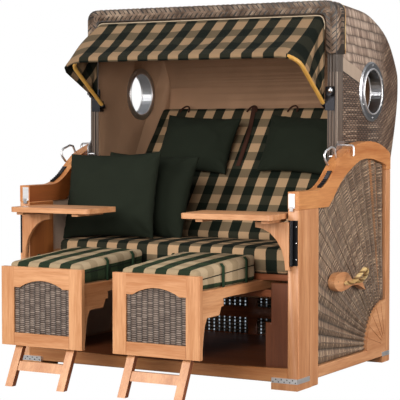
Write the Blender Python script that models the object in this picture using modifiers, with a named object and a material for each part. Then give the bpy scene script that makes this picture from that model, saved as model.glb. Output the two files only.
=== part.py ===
"""Two-seat hooded beach chair: a wooden base with sunburst wicker cheeks, a reclining
wicker hood with portholes and an awning, two swing tables and two pull-out footrests.

Metres, +Z up, +Y towards the back of the chair, +X to the sitter's left seen from the front.
Pieces are laid out from the floor, the middle of the chair and the front face of its base.
The whole chair is then moved so that its origin is the middle of its footprint.
"""
import math

import bmesh
import bpy
from mathutils import Matrix, Vector
from mathutils.bvhtree import BVHTree

COLLECTION_NAME = "hooded_beach_chair"
CUTTER_COLLECTION_NAME = "cutters"

# Clearances shared by neighbouring pieces
GAP = 0.0003
OVERRUN = 0.05
SINK = 0.001
TINY = 1e-9

# Base: overall size, cheeks and posts
BASE_WIDTH = 1.36
BASE_DEPTH = 0.934
CHEEK_THICKNESS = 0.05
CHEEK_INNER_X = BASE_WIDTH / 2 - CHEEK_THICKNESS
FOOT_HEIGHT = 0.0276
FOOT_LENGTH = 0.118
FOOT_WIDTH = 0.117
FOOT_OVERHANG = 0.011
REAR_FOOT_INSET = 0.009
REAR_FOOT_LENGTH = 0.077
REAR_FOOT_WIDTH = 0.077
FRONT_POST_DEPTH = 0.184
FRONT_POST_JOINT = 0.10
REAR_POST_DEPTH = 0.049
REAR_POST_TOP = 0.86
GROOVE_WIDTH = 0.002
GROOVE_DEPTH = 0.0015
EDGE_ROUNDING = 0.003

# Base: arched arm rail of each cheek
ARM_HEIGHT = 0.794
ARM_UNDERSIDE = 0.722
ARCH_HEIGHT = 0.988
ARCH_REAR_UNDERSIDE = 0.880
ARM_FLAT_END = 0.177
ARM_UNDER_FLAT_END = 0.281
CURVE_STEPS = 3

# Base: bottom rail with its quarter fan, wicker panel and its ribs
BOTTOM_RAIL_TOP = 0.075
FAN_RADIUS = 0.205
FAN_RAY_COUNT = 5
FAN_RAY_WIDTH = 0.004
FAN_RAY_DEPTH = 0.002
FAN_RAY_START = 0.05
WICKER_BACK_INSET = 0.028
WICKER_THICKNESS = 0.010
WICKER_RIB_HEIGHT = 0.006
WICKER_RIB_COUNT = 17
WICKER_EDGE_GAP = 0.0007

# Base: carry handle cut as a fish, with its rope loop
FISH_THICKNESS = 0.029
FISH_LENGTH = 0.327
FISH_HEIGHT = 0.094
FISH_NOSE_Y = 0.297
FISH_BELLY_Z = 0.350
ROPE_RADIUS = 0.009
ROPE_REACH = 0.072
ROPE_LEAD = 0.010
ROPE_FRONT_Y = 0.405
ROPE_REAR_Y = 0.499
ROPE_Z = 0.398
ROPE_RISE = 0.058
ROPE_WIDEN_SHARE = 0.25
ROPE_STEPS = 18

# Base: front rail, floor board, footwell planks, back wall
FRONT_RAIL_TOP = 0.086
FRONT_RAIL_THICKNESS = 0.022
FRONT_RAIL_DIP = 0.010
FLOOR_BOARD_THICKNESS = 0.018
PLANK_SETBACK = 0.035
PLANK_THICKNESS = 0.018
PLANK_WIDTH = 0.117
PLANK_INNER_X = CHEEK_INNER_X - PLANK_WIDTH
PLANK_NOTCH = 0.025
PLANK_NOTCH_Z = 0.262
BACK_WALL_TOP = 0.33
BACK_WALL_THICKNESS = 0.036
BACK_WALL_RAIL = 0.050
BACK_WALL_POST = 0.045
BACK_WALL_WEB = 0.010

# Base: seat frame that carries the cushion and guides the footrests
SEAT_BOARD_TOP = 0.447
SEAT_BOARD_THICKNESS = 0.0235
SEAT_FRONT_Y = 0.130
SEAT_FRONT_BOARD_DEPTH = 0.060
SEAT_BEAM_DEPTH = 0.040
SEAT_BEAM_DROP = 0.038
SEAT_SLAT_WIDTH = 0.060
SEAT_SLAT_COUNT = 7
SEAT_SLAT_MARGIN = 0.090
SEAT_SLAT_SPAN = 2 * (CHEEK_INNER_X - SEAT_SLAT_MARGIN)
RUNNER_DEPTH = 0.040
RUNNER_THICKNESS = 0.030
SEAT_END_BLOCK = 0.030

# Hood: outside size, walls and pivot
HOOD_SIDE_CLEARANCE = 0.0073
HOOD_HALF_WIDTH = CHEEK_INNER_X - HOOD_SIDE_CLEARANCE
PIVOT_SHARE = 0.749465
PIVOT_Y = BASE_DEPTH * PIVOT_SHARE
HOOD_FRONT_REACH = 0.223
HOOD_FRONT_Y = PIVOT_Y - HOOD_FRONT_REACH
HOOD_TOP = 1.578
HOOD_WALL = 0.024
LINING_WALL = 0.0187
HOOD_INNER_X = HOOD_HALF_WIDTH - HOOD_WALL - LINING_WALL
HOOD_EDGE_ROUNDING = 0.022
HOOD_FRONT_BOTTOM = 0.530
HOOD_TOE_LENGTH = 0.053
HOOD_TOE_Z = 0.465
PIVOT_Z = 0.470
PIVOT_CORNER_RADIUS = 0.040
PIVOT_BOLT_RADIUS = 0.008
PIVOT_BOARD_THICKNESS = 0.0195
PIVOT_BOARD_HEIGHT = 0.060
HOOD_CURVE_STEPS = 4
ROUNDING_STEPS = 3

# Hood: plaited rim over its front edge
RIM_PROUD = 0.016
RIM_FRONT_Y = HOOD_FRONT_Y - RIM_PROUD
RIM_DEPTH = 0.089
RIM_REAR_Y = RIM_FRONT_Y + RIM_DEPTH
RIM_TOP = 1.583
RIM_SIDE_BOTTOM = 1.360
RIM_SIDE_PROUD = 0.0053
RIM_HALF_WIDTH = HOOD_HALF_WIDTH + RIM_SIDE_PROUD
RIM_INNER_PROUD = 0.0015
RIM_INNER_HALF_WIDTH = HOOD_INNER_X - RIM_INNER_PROUD
RIM_INNER_TOP = 1.530
RIM_CORNER_RADIUS = 0.045
RIM_INNER_RADIUS = 0.030
RIM_EDGE_ROUNDING = 0.014

# Hood: portholes
PORTHOLE_SETBACK = 0.368
PORTHOLE_Y = HOOD_FRONT_Y + PORTHOLE_SETBACK
PORTHOLE_Z = 1.206
PORTHOLE_RADIUS = 0.1326
PORTHOLE_CLEAR_RADIUS = 0.098
PORTHOLE_TUBE_WALL = 0.004
PORTHOLE_FLANGE = 0.008
PORTHOLE_LIP_SHARE = 0.6
PORTHOLE_EDGE_SHARE = 0.3
PORTHOLE_INNER_EDGE_SHARE = 0.4
PORTHOLE_INNER_FLANGE_RADIUS = 0.124
ROUND_STEPS = 40
HOLE_STEPS = 48

# Hood: backrest board and back cushion, leaning back at the same angle, and the depth they need
BACK_FOOT_SETBACK = 0.085
BACK_FOOT_Y = HOOD_FRONT_Y + BACK_FOOT_SETBACK
BACK_FOOT_Z = 0.560
BACK_ANGLE = math.radians(39.0)
BACK_LENGTH = 0.755
BACK_TOP_Z = BACK_FOOT_Z + BACK_LENGTH * math.cos(BACK_ANGLE)
BACK_TOP_CLEARANCE = 0.132
HOOD_DEPTH = BACK_FOOT_SETBACK + BACK_LENGTH * math.sin(BACK_ANGLE) + BACK_TOP_CLEARANCE
SEAT_REAR_GAP = 0.002
SEAT_REAR_Y = BACK_FOOT_Y - SEAT_REAR_GAP
BACK_CUSHION_THICKNESS = 0.062
BACK_CUSHION_SIDE_GAP = 0.007
BACK_CUSHION_WIDTH = 2 * (HOOD_INNER_X - BACK_CUSHION_SIDE_GAP)
BACK_CUSHION_CROWN = 0.006
BACK_BOARD_THICKNESS = 0.015

# Hood: recline latches
LEVER_ARCH_CLEARANCE = 0.023
LATCH_RADIUS = ARCH_HEIGHT - PIVOT_Z + LEVER_ARCH_CLEARANCE
LATCH_SETBACK = 0.023
LATCH_Y = HOOD_FRONT_Y + LATCH_SETBACK
LATCH_PLATE_THICKNESS = 0.006
LATCH_PLATE_REACH = 0.022
LATCH_PLATE_FRONT_Y = HOOD_FRONT_Y - LATCH_PLATE_REACH
LATCH_PLATE_DEPTH = 0.090
LATCH_PLATE_REAR_Y = LATCH_PLATE_FRONT_Y + LATCH_PLATE_DEPTH
LATCH_PLATE_BOTTOM = 0.905
LATCH_PLATE_TOP = 0.990
LATCH_KNOB_RADIUS = 0.007
LATCH_KNOB_LENGTH = 0.032
LATCH_KNOB_Z = 0.925
LEVER_RADIUS = 0.0045
LEVER_OUTSIDE_GAP = 0.012
LEVER_DROP = 0.045
LEVER_BEND = 0.012
RACK_INSET = 0.016
RACK_X = BASE_WIDTH / 2 - RACK_INSET
RACK_WIDTH = 0.018
RACK_FRONT_SHARE = 0.2302
RACK_FRONT_Y = BASE_DEPTH * RACK_FRONT_SHARE
RACK_REAR_SHARE = 0.3694
RACK_REAR_Y = BASE_DEPTH * RACK_REAR_SHARE
RACK_THICKNESS = 0.004
RACK_TOOTH = 0.004
RACK_TOOTH_COUNT = 9

# Awning: bow, cloth and the latches it swings on
AWNING_PIVOT_SETBACK = 0.010
AWNING_PIVOT_Y = HOOD_FRONT_Y + AWNING_PIVOT_SETBACK
AWNING_PIVOT_Z = 1.143
AWNING_REACH = 0.272
AWNING_BAR_Y = HOOD_FRONT_Y - AWNING_REACH
AWNING_BAR_Z = 1.348
BOW_RADIUS = 0.009
BOW_SIDE_GAP = 0.0188
BOW_HALF_WIDTH = HOOD_INNER_X - BOW_SIDE_GAP
BOW_CORNER_RADIUS = 0.080
BOW_CORNER_STEPS = 6
CLOTH_THICKNESS = 0.003
CLOTH_SIDE_GAP = 0.003
CLOTH_HALF_WIDTH = HOOD_INNER_X - CLOTH_SIDE_GAP
CLOTH_SEAM_GAP = 0.003
CLOTH_REAR_Y = RIM_FRONT_Y - CLOTH_SEAM_GAP
CLOTH_REAR_Z = 1.520
CLOTH_HEM = 0.026
CLOTH_SAG = 0.006
CLOTH_GUSSET_BOTTOM = 1.185
CLOTH_COLUMNS = 16
CLOTH_ROWS = 6
CLOTH_SIDE_ROWS = 3
AWNING_PLATE_THICKNESS = 0.004
AWNING_PLATE_BOTTOM = 1.120
AWNING_PLATE_TOP = 1.222
AWNING_LEAF_TOP = 1.168
AWNING_LEAF_SETBACK = 0.029
AWNING_LEAF_REAR_Y = HOOD_FRONT_Y + AWNING_LEAF_SETBACK
AWNING_LEAF_THICKNESS = 0.0085
AWNING_PLATE_WIDTH = 0.044
AWNING_KNOB_RADIUS = 0.014
AWNING_KNOB_LENGTH = 0.028
AWNING_KNOB_INSET = 0.0145
AWNING_KNOB_Z = 1.196

# Swing tables
TABLE_AXIS_INSET = 0.025
TABLE_AXIS_X = BASE_WIDTH / 2 - TABLE_AXIS_INSET
TABLE_AXIS_Y = -0.020
TABLE_TOP_Z = 0.708
TABLE_LENGTH = 0.395
TABLE_DEPTH = 0.240
TABLE_THICKNESS = 0.022
TABLE_CORNER_RADIUS = 0.020
TABLE_START = 0.029
TABLE_FRONT_REACH = 0.133
TABLE_SWING_LEFT = math.radians(-1.0)
TABLE_SWING_RIGHT = math.radians(6.0)
BATTEN_WIDTH = 0.030
BATTEN_THICKNESS = 0.012
BATTEN_SETBACK = 0.020
BATTEN_FIRST = 0.038
BATTEN_LAST = 0.075
BRACKET_THICKNESS = 0.018
BRACKET_LENGTH = 0.150
BRACKET_BOTTOM = 0.483
BRACKET_TIP = 0.022
HINGE_BARREL_RADIUS = 0.006
HINGE_LEAF_THICKNESS = 0.004
HINGE_LEAF_WIDTH = 0.040
HINGE_BOTTOM = 0.500
HINGE_TOP = 0.680
HINGE_WEB = 0.005

# Footrests
FOOTREST_SIDE_GAP = 0.046
FOOTREST_MIDDLE_GAP = 0.073
FOOTREST_WIDTH = PLANK_INNER_X - FOOTREST_SIDE_GAP - FOOTREST_MIDDLE_GAP
FOOTREST_CENTRE_X = FOOTREST_MIDDLE_GAP + FOOTREST_WIDTH / 2
FOOTREST_FRONT_Y = -0.420
FOOTREST_FRONT_THICKNESS = 0.022
FOOTREST_TOP = 0.483
FOOTREST_BOTTOM = 0.161
STILE_WIDTH = 0.062
FOOTREST_LOWER_RAIL_TOP = 0.213
FOOTREST_ARCH_SIDE_Z = 0.400
FOOTREST_ARCH_TOP_Z = 0.430
FOOTREST_ARCH_FLAT = 0.030
INSET_THICKNESS = 0.008
RUNNER_RAIL_TOP = 0.4225
RUNNER_RAIL_BOTTOM = 0.381
RUNNER_RAIL_THICKNESS = 0.022
RUNNER_RAIL_INSET = 0.012
RUNNER_RAIL_END_Y = 0.300
RAIL_BRACKET_BOTTOM = 0.315
RAIL_BRACKET_LENGTH = 0.190
RAIL_RETURN_DEPTH = 0.036
RAIL_SHOULDER_SHARE = 1.6
SLAT_THICKNESS = 0.014
SLAT_WIDTH = 0.045
SLAT_COUNT = 5
FOOT_CUSHION_MARGIN = 0.0245
FOOT_CUSHION_WIDTH = FOOTREST_WIDTH - 2 * FOOT_CUSHION_MARGIN
FOOT_CUSHION_THICKNESS = 0.078
FOOT_CUSHION_REAR_Y = 0.085
FOOT_CUSHION_WEDGE = 0.030
FOOT_CUSHION_CROWN = 0.006
LEG_PIVOT_Y = -0.292
LEG_PIVOT_Z = 0.345
LEG_TOE_Y = -0.460
LEG_INSET = 0.071
LEG_OFFSET_X = FOOTREST_WIDTH / 2 - LEG_INSET
LEG_WIDTH = 0.036
LEG_THICKNESS = 0.022
LEG_BAR_BOTTOM = 0.062
LEG_BAR_TOP = 0.098
LEG_BAR_THICKNESS = 0.014
LEG_AXLE_RADIUS = 0.006

# Soft goods on the seat
SEAT_CUSHION_FRONT_Y = 0.137
SEAT_CUSHION_REAR_GAP = 0.017
SEAT_CUSHION_REAR_Y = BACK_FOOT_Y - SEAT_CUSHION_REAR_GAP
SEAT_CUSHION_THICKNESS = 0.106
SEAT_CUSHION_SIDE_GAP = 0.010
SEAT_CUSHION_WIDTH = 2 * (HOOD_INNER_X - SEAT_CUSHION_SIDE_GAP)
SEAT_CUSHION_CROWN = 0.008
CUSHION_ROUNDING = 0.022
PILLOW_SEAM = 0.012
PILLOW_DRAW_SHARE = 0.06
HEAD_PILLOW_SIDE_GAP = 0.098
HEAD_PILLOW_MIDDLE_GAP = 0.075
HEAD_PILLOW_WIDTH = BACK_CUSHION_WIDTH / 2 - HEAD_PILLOW_SIDE_GAP - HEAD_PILLOW_MIDDLE_GAP
HEAD_PILLOW_HEIGHT = 0.290
HEAD_PILLOW_THICKNESS = 0.090
HEAD_PILLOW_X = HEAD_PILLOW_MIDDLE_GAP + HEAD_PILLOW_WIDTH / 2
HEAD_PILLOW_SHIFT = 0.025
HEAD_PILLOW_DROP = 0.278
HEAD_PILLOW_TILT = math.radians(12.0)
THROW_PILLOW_WIDTH = 0.475
THROW_PILLOW_HEIGHT = 0.400
THROW_PILLOW_THICKNESS = 0.120
THROW_FRONT_SIDE_GAP = 0.0075
THROW_FRONT_X = THROW_FRONT_SIDE_GAP + THROW_PILLOW_WIDTH / 2 - CHEEK_INNER_X
THROW_FRONT_DISTANCE = 0.327
THROW_FRONT_Y = BACK_FOOT_Y - THROW_FRONT_DISTANCE
THROW_REAR_SIDE_GAP = 0.0425
THROW_REAR_X = THROW_REAR_SIDE_GAP + THROW_PILLOW_WIDTH / 2 - HOOD_INNER_X
THROW_REAR_DISTANCE = 0.197
THROW_REAR_Y = BACK_FOOT_Y - THROW_REAR_DISTANCE
THROW_LEAN = math.radians(14.0)
THROW_REAR_LEAN = math.radians(20.0)

# Outline shares: y as a share of the base depth, z as a share of the arch height
ARM_UPPER_SHARES = (
    (0.235, 0.8117), (0.298, 0.8411), (0.348, 0.8775), (0.430, 0.9330), (0.512, 0.9636),
    (0.596, 0.9858), (0.683, 0.9970), (0.762, 1.0), (0.854, 0.9899), (0.938, 0.9676),
    (0.985, 0.9484))
ARM_LOWER_SHARES = (
    (0.349, 0.7652), (0.396, 0.8057), (0.470, 0.8522), (0.555, 0.8887), (0.640, 0.9170),
    (0.728, 0.9241), (0.818, 0.9170), (0.900, 0.9020))

# Hood side outline. Roof: y as a share of the hood depth, z as a share of the hood top
HOOD_ROOF_SHARES = (
    (0.0, 1.0), (0.236, 0.9937), (0.527, 0.9778), (0.795, 0.9265), (0.960, 0.8441), (1.0, 0.7852))
# Rear: y as a share of the hood depth, z as a share of the height of the backrest's top
HOOD_REAR_SHARES = ((0.965, 0.936552), (0.828, 0.697666))
# Heel: y as a share of the way from the pivot to the base's rear edge, z as a share of the pivot's height
HOOD_HEEL_SHARES = ((0.9988, 1.107957), (0.5996, 0.553979))

# Fish outline: y as a share of its length from the nose, z as a share of its height from the belly
FISH_BODY_SHARES = (
    (0.62, 0.44), (0.43, 0.92), (0.25, 1.0), (0.10, 0.94), (0.0, 0.66), (0.05, 0.34),
    (0.20, 0.16), (0.38, 0.20), (0.57, 0.32), (0.74, 0.30))
FISH_TAIL_SHARES = ((0.99, 0.0), (0.90, 0.34), (0.905, 0.56))

parts = bpy.data.collections.new(COLLECTION_NAME)
cutters = bpy.data.collections.new(CUTTER_COLLECTION_NAME)
materials = {}


def clear_scene():
    """Remove the start-up objects and open the two collections."""
    for old in list(bpy.data.objects):
        bpy.data.objects.remove(old, do_unlink=True)
    bpy.context.scene.collection.children.link(parts)
    bpy.context.scene.collection.children.link(cutters)


def material(name, colour, roughness, metallic=0.0):
    """Principled material, made once for each name."""
    if name in materials:
        return materials[name]
    made = bpy.data.materials.new(name)
    made.use_nodes = True
    shader = made.node_tree.nodes["Principled BSDF"]
    shader.inputs["Base Color"].default_value = (*colour, 1.0)
    shader.inputs["Roughness"].default_value = roughness
    shader.inputs["Metallic"].default_value = metallic
    materials[name] = made
    return made


def wood():
    return material("oiled_hardwood", (0.60, 0.31, 0.12), 0.45)


def dark_wood():
    return material("shaded_hardwood", (0.30, 0.12, 0.05), 0.5)


def wicker():
    return material("woven_resin_wicker", (0.16, 0.12, 0.09), 0.5)


def lining_cloth():
    return material("lining_cloth", (0.27, 0.17, 0.11), 0.85)


def check_cloth():
    return material("check_cloth", (0.24, 0.22, 0.14), 0.9)


def plain_cloth():
    return material("dark_green_cloth", (0.012, 0.025, 0.014), 0.9)


def chrome():
    return material("polished_steel", (0.80, 0.80, 0.82), 0.12, 1.0)


def black_steel():
    return material("black_steel", (0.02, 0.02, 0.02), 0.35, 1.0)


def bow_plastic():
    return material("bow_plastic", (0.60, 0.36, 0.09), 0.4)


def rope():
    return material("twisted_rope", (0.66, 0.46, 0.18), 0.8)


def add_object(name, mesh, surface=None):
    """New object of this mesh among the parts, with its material."""
    made = bpy.data.objects.new(name, mesh)
    parts.objects.link(made)
    if surface is not None:
        made.data.materials.clear()
        made.data.materials.append(surface)
    return made


def span(one, other):
    """Two ends in rising order."""
    return min(one, other), max(one, other)


def box(name, xs, ys, zs, surface=None):
    """Rectangular block between three pairs of ends."""
    cube = bmesh.new()
    bmesh.ops.create_cube(cube, size=1.0)
    ends = [span(*xs), span(*ys), span(*zs)]
    size = Vector([high - low for low, high in ends])
    middle = Vector([(high + low) / 2 for low, high in ends])
    bmesh.ops.scale(cube, vec=size, verts=cube.verts)
    bmesh.ops.translate(cube, vec=middle, verts=cube.verts)
    mesh = bpy.data.meshes.new(name)
    cube.to_mesh(mesh)
    cube.free()
    return add_object(name, mesh, surface)


def cylinder(name, start, axis, length, radius, surface=None, steps=20):
    """Round bar from start, along a unit axis."""
    bar = bmesh.new()
    bmesh.ops.create_cone(bar, cap_ends=True, segments=steps, radius1=radius, radius2=radius, depth=length)
    turn = Vector((0, 0, 1)).rotation_difference(Vector(axis)).to_matrix().to_4x4()
    centre = Vector(start) + Vector(axis) * (length / 2)
    bmesh.ops.transform(bar, matrix=Matrix.Translation(centre) @ turn, verts=bar.verts)
    mesh = bpy.data.meshes.new(name)
    bar.to_mesh(mesh)
    bar.free()
    made = add_object(name, mesh, surface)
    shade_round(made)
    return made


def shade_round(piece, angle=math.radians(40)):
    """Smooth shading with sharp edges kept."""
    piece.data.shade_smooth()
    piece.data.set_sharp_from_angle(angle=angle)


def curve_to_mesh(curve_object, surface=None):
    """Mesh object in place of a curve object, with its caps welded on."""
    evaluated = curve_object.evaluated_get(bpy.context.evaluated_depsgraph_get())
    mesh = bpy.data.meshes.new_from_object(evaluated)
    name = curve_object.name
    place = curve_object.matrix_world.copy()
    bpy.data.objects.remove(curve_object, do_unlink=True)
    mesh.name = name
    welded = bmesh.new()
    welded.from_mesh(mesh)
    bmesh.ops.remove_doubles(welded, verts=welded.verts, dist=GAP / 10)
    bmesh.ops.transform(welded, matrix=place, verts=welded.verts)
    bmesh.ops.recalc_face_normals(welded, faces=welded.faces)
    welded.to_mesh(mesh)
    welded.free()
    return add_object(name, mesh, surface)


PLANE_TURNS = {
    "YZ": (math.radians(90), 0.0, math.radians(90)),
    "XZ": (math.radians(90), 0.0, 0.0),
    "XY": (0.0, 0.0, 0.0),
}


def flat_board(name, plane, outlines, ends, surface=None):
    """Board cut to flat outlines in a plane; ends are its two faces across that plane."""
    low, high = span(*ends)
    curve = bpy.data.curves.new(name, "CURVE")
    curve.dimensions = "2D"
    curve.fill_mode = "BOTH"
    curve.extrude = (high - low) / 2
    for outline in outlines:
        spline = curve.splines.new("POLY")
        spline.points.add(len(outline) - 1)
        for point, (across, up) in zip(spline.points, outline):
            point.co = (across, up, 0.0, 1.0)
        spline.use_cyclic_u = True
    shape = bpy.data.objects.new(name, curve)
    parts.objects.link(shape)
    shape.rotation_euler = PLANE_TURNS[plane]
    middle = (high + low) / 2
    shape.location = {"YZ": (middle, 0, 0), "XZ": (0, middle, 0), "XY": (0, 0, middle)}[plane]
    bpy.context.view_layer.update()
    board = curve_to_mesh(shape, surface)
    mark_rims(board, {"YZ": 0, "XZ": 1, "XY": 2}[plane])
    return board


def mark_rims(board, axis):
    """Mark the edges around a board's two faces as the ones that are rounded."""
    mesh = board.data
    weights = mesh.attributes.new("bevel_weight_edge", "FLOAT", "EDGE")
    for edge in mesh.edges:
        one, other = (mesh.vertices[index].co[axis] for index in edge.vertices)
        weights.data[edge.index].value = 1.0 if abs(one - other) < GAP / 10 else 0.0


def tube(name, points, radius, surface=None, resolution=2):
    """Round tube along a polyline, with closed ends."""
    curve = bpy.data.curves.new(name, "CURVE")
    curve.dimensions = "3D"
    curve.bevel_depth = radius
    curve.bevel_resolution = resolution
    curve.use_fill_caps = True
    spline = curve.splines.new("POLY")
    spline.points.add(len(points) - 1)
    for point, place in zip(spline.points, points):
        point.co = (*place, 1.0)
    shape = bpy.data.objects.new(name, curve)
    parts.objects.link(shape)
    bpy.context.view_layer.update()
    made = curve_to_mesh(shape, surface)
    shade_round(made)
    return made


def combine(piece, tool, operation):
    """Boolean of a tool object on a piece; the tool moves to the cutters."""
    parts.objects.unlink(tool)
    cutters.objects.link(tool)
    tool.hide_render = True
    tool.display_type = "WIRE"
    step = piece.modifiers.new(operation.lower(), "BOOLEAN")
    step.operation = operation
    step.object = tool
    return piece


def join(piece, *tools):
    for tool in tools:
        combine(piece, tool, "UNION")
    return piece


def cut(piece, *tools):
    for tool in tools:
        combine(piece, tool, "DIFFERENCE")
    return piece


def soften(piece, width=EDGE_ROUNDING, segments=1, angle=math.radians(50)):
    """Rounded edges: the marked ones of a board, else every sharp one."""
    step = piece.modifiers.new("edges", "BEVEL")
    step.width = width
    step.segments = segments
    step.limit_method = "WEIGHT" if "bevel_weight_edge" in piece.data.attributes else "ANGLE"
    step.angle_limit = angle
    return piece


def smooth_path(points, steps):
    """Points of a smooth curve through the given ones."""
    path = []
    count = len(points)
    for index in range(count - 1):
        before = Vector(points[max(index - 1, 0)])
        start = Vector(points[index])
        end = Vector(points[index + 1])
        after = Vector(points[min(index + 2, count - 1)])
        for step in range(steps):
            t = step / steps
            place = (
                start * 2
                + (end - before) * t
                + (before * 2 - start * 5 + end * 4 - after) * t ** 2
                + (start * 3 - before - end * 3 + after) * t ** 3) / 2
            path.append(tuple(place))
    path.append(tuple(points[-1]))
    return path


def offset_path(path, distance):
    """Open path moved sideways, to the right of its direction for a positive distance."""
    moved = []
    for index, (across, up) in enumerate(path):
        before = Vector(path[max(index - 1, 0)])
        after = Vector(path[min(index + 1, len(path) - 1)])
        along = (after - before).normalized()
        moved.append((across + along.y * distance, up - along.x * distance))
    return moved


def arc(centre, radius, start, end, steps):
    """Points on a circle between two angles in degrees."""
    points = []
    for step in range(steps + 1):
        angle = math.radians(start + (end - start) * step / steps)
        points.append((centre[0] + radius * math.cos(angle), centre[1] + radius * math.sin(angle)))
    return points


def empty(name, place, parent=None):
    """Empty on a joint axis, at a place in the chair's layout frame."""
    made = bpy.data.objects.new(name, None)
    parts.objects.link(made)
    made.parent = parent
    made.location = Vector(place)
    if parent:
        made.location -= Vector(parent["place"])
    made["place"] = tuple(place)
    return made


def hang(piece, carrier):
    """Parent a piece that was laid out in the chair's frame to an empty."""
    piece.parent = carrier
    piece.location = piece.location - Vector(carrier["place"])
    return piece


def shape_tree(piece):
    """Finished surface of a piece in its parent's frame: its points and a search tree."""
    mesh = piece.evaluated_get(bpy.context.evaluated_depsgraph_get()).data
    points = [piece.matrix_basis @ vertex.co for vertex in mesh.vertices]
    return points, BVHTree.FromPolygons(points, [tuple(face.vertices) for face in mesh.polygons])


def settle(piece, direction, support):
    """Move a piece along a direction until it rests on a support with the same parent."""
    bpy.context.view_layer.update()
    way = Vector(direction)
    own_points, own_tree = shape_tree(piece)
    under_points, under_tree = shape_tree(support)
    drops = [under_tree.ray_cast(point, way)[3] for point in own_points]
    drops += [own_tree.ray_cast(point, -way)[3] for point in under_points]
    piece.location += way * (min(drop for drop in drops if drop is not None) - GAP)


def carry(piece, carrier):
    """Parent a piece, and the shapes joined to it, that were laid out in the empty's own frame."""
    piece.parent = carrier
    for step in piece.modifiers:
        if step.type == "BOOLEAN":
            step.object.parent = carrier
    return piece


def build_base_side(side, word, root):
    """One cheek: posts, arched rail, bottom rail with fan, wicker, handle and pivot board."""
    outer = side * BASE_WIDTH / 2
    inner = side * (BASE_WIDTH / 2 - CHEEK_THICKNESS)
    rear_post_y = BASE_DEPTH - REAR_POST_DEPTH

    post = box(f"front_post_{word}", (inner, outer), (0.0, FRONT_POST_DEPTH),
               (0.0, ARM_UNDERSIDE - GAP), wood())
    foot = box("front_foot_block", (outer, outer - side * FOOT_WIDTH),
               (-FOOT_OVERHANG, FOOT_LENGTH), (0.0, FOOT_HEIGHT))
    groove = box("board_joint", (outer - side * GROOVE_DEPTH, outer + side * OVERRUN),
                 (FRONT_POST_JOINT - GROOVE_WIDTH / 2, FRONT_POST_JOINT + GROOVE_WIDTH / 2),
                 (FOOT_HEIGHT, ARM_UNDERSIDE + OVERRUN))
    hang(cut(join(soften(post), foot), groove), root)

    outline = [(0.0, ARM_HEIGHT)] + arm_top()
    outline += [(BASE_DEPTH, REAR_POST_TOP + GAP), (rear_post_y, REAR_POST_TOP + GAP)]
    outline += list(reversed(opening_top())) + [(0.0, ARM_UNDERSIDE)]
    rail = flat_board(f"arm_rail_{word}", "YZ", [outline], (inner, outer), wood())
    hang(soften(rail), root)

    rear = box(f"rear_post_{word}", (inner, outer), (rear_post_y, BASE_DEPTH), (0.0, REAR_POST_TOP), wood())
    rear_foot = box("rear_foot_block", (outer, outer - side * REAR_FOOT_WIDTH),
                    (BASE_DEPTH - REAR_FOOT_INSET, BASE_DEPTH - REAR_FOOT_INSET - REAR_FOOT_LENGTH),
                    (0.0, FOOT_HEIGHT))
    hang(join(soften(rear), rear_foot), root)

    rail_start = FRONT_POST_DEPTH + GAP
    rail_end = rear_post_y - GAP
    bottom = box(f"bottom_rail_{word}", (inner, outer), (rail_start, rail_end),
                 (FOOT_HEIGHT + GAP, BOTTOM_RAIL_TOP), wood())
    fan_foot = BOTTOM_RAIL_TOP - 2 * EDGE_ROUNDING
    arch = arc((rear_post_y, BOTTOM_RAIL_TOP), FAN_RADIUS, 91.0, 180.0, 14)
    fan_outline = [(rail_end, fan_foot), (rail_end, arch[0][1])] + arch + [(arch[-1][0], fan_foot)]
    join(soften(bottom), soften(flat_board("quarter_fan", "YZ", [fan_outline], (inner, outer))))
    for index in range(FAN_RAY_COUNT):
        angle = math.radians(90.0 + 90.0 * (index + 1) / (FAN_RAY_COUNT + 1))
        cut(bottom, fan_ray(angle, outer, side, rear_post_y))
    hang(bottom, root)

    panel = wicker_panel(f"wicker_panel_{word}", side)
    hang(panel, root)

    skin_x = outer - side * (WICKER_BACK_INSET - WICKER_THICKNESS - WICKER_RIB_HEIGHT - GAP)
    fish = fish_handle(f"fish_handle_{word}", skin_x, side)
    hang(fish, root)
    face_x = skin_x + side * (FISH_THICKNESS + GAP)
    hang(rope_loop(f"rope_loop_{word}", face_x, side), root)

    board_x = inner + side * GAP
    board = box(f"pivot_board_{word}", (board_x, board_x + side * PIVOT_BOARD_THICKNESS),
                (FRONT_POST_DEPTH + GAP, rear_post_y - GAP),
                (PIVOT_Z - PIVOT_BOARD_HEIGHT / 2, PIVOT_Z + PIVOT_BOARD_HEIGHT / 2), wood())
    bolt_end = side * (HOOD_HALF_WIDTH - HOOD_WALL - LINING_WALL)
    bolt = cylinder("pivot_bolt", (board_x + side * SINK, PIVOT_Y, PIVOT_Z), (-side, 0, 0),
                    abs(board_x + side * SINK - bolt_end), PIVOT_BOLT_RADIUS)
    hang(join(board, bolt), root)


def arm_top():
    """Top of the arm rail, from the flat of the arm to the back."""
    bends = [(ARM_FLAT_END, ARM_HEIGHT)]
    bends += [(y * BASE_DEPTH, z * ARCH_HEIGHT) for y, z in ARM_UPPER_SHARES]
    bends.append((BASE_DEPTH, ARCH_HEIGHT * ARM_UPPER_SHARES[-1][1] - EDGE_ROUNDING * 4))
    return smooth_path(bends, CURVE_STEPS - 1)


def opening_top():
    """Underside of the arm rail, from the front post to the rear post."""
    rear_post_y = BASE_DEPTH - REAR_POST_DEPTH
    bends = [(ARM_UNDER_FLAT_END, ARM_UNDERSIDE)]
    bends += [(y * BASE_DEPTH, z * ARCH_HEIGHT) for y, z in ARM_LOWER_SHARES]
    bends.append((rear_post_y, ARCH_REAR_UNDERSIDE))
    return smooth_path(bends, CURVE_STEPS - 1)


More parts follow.
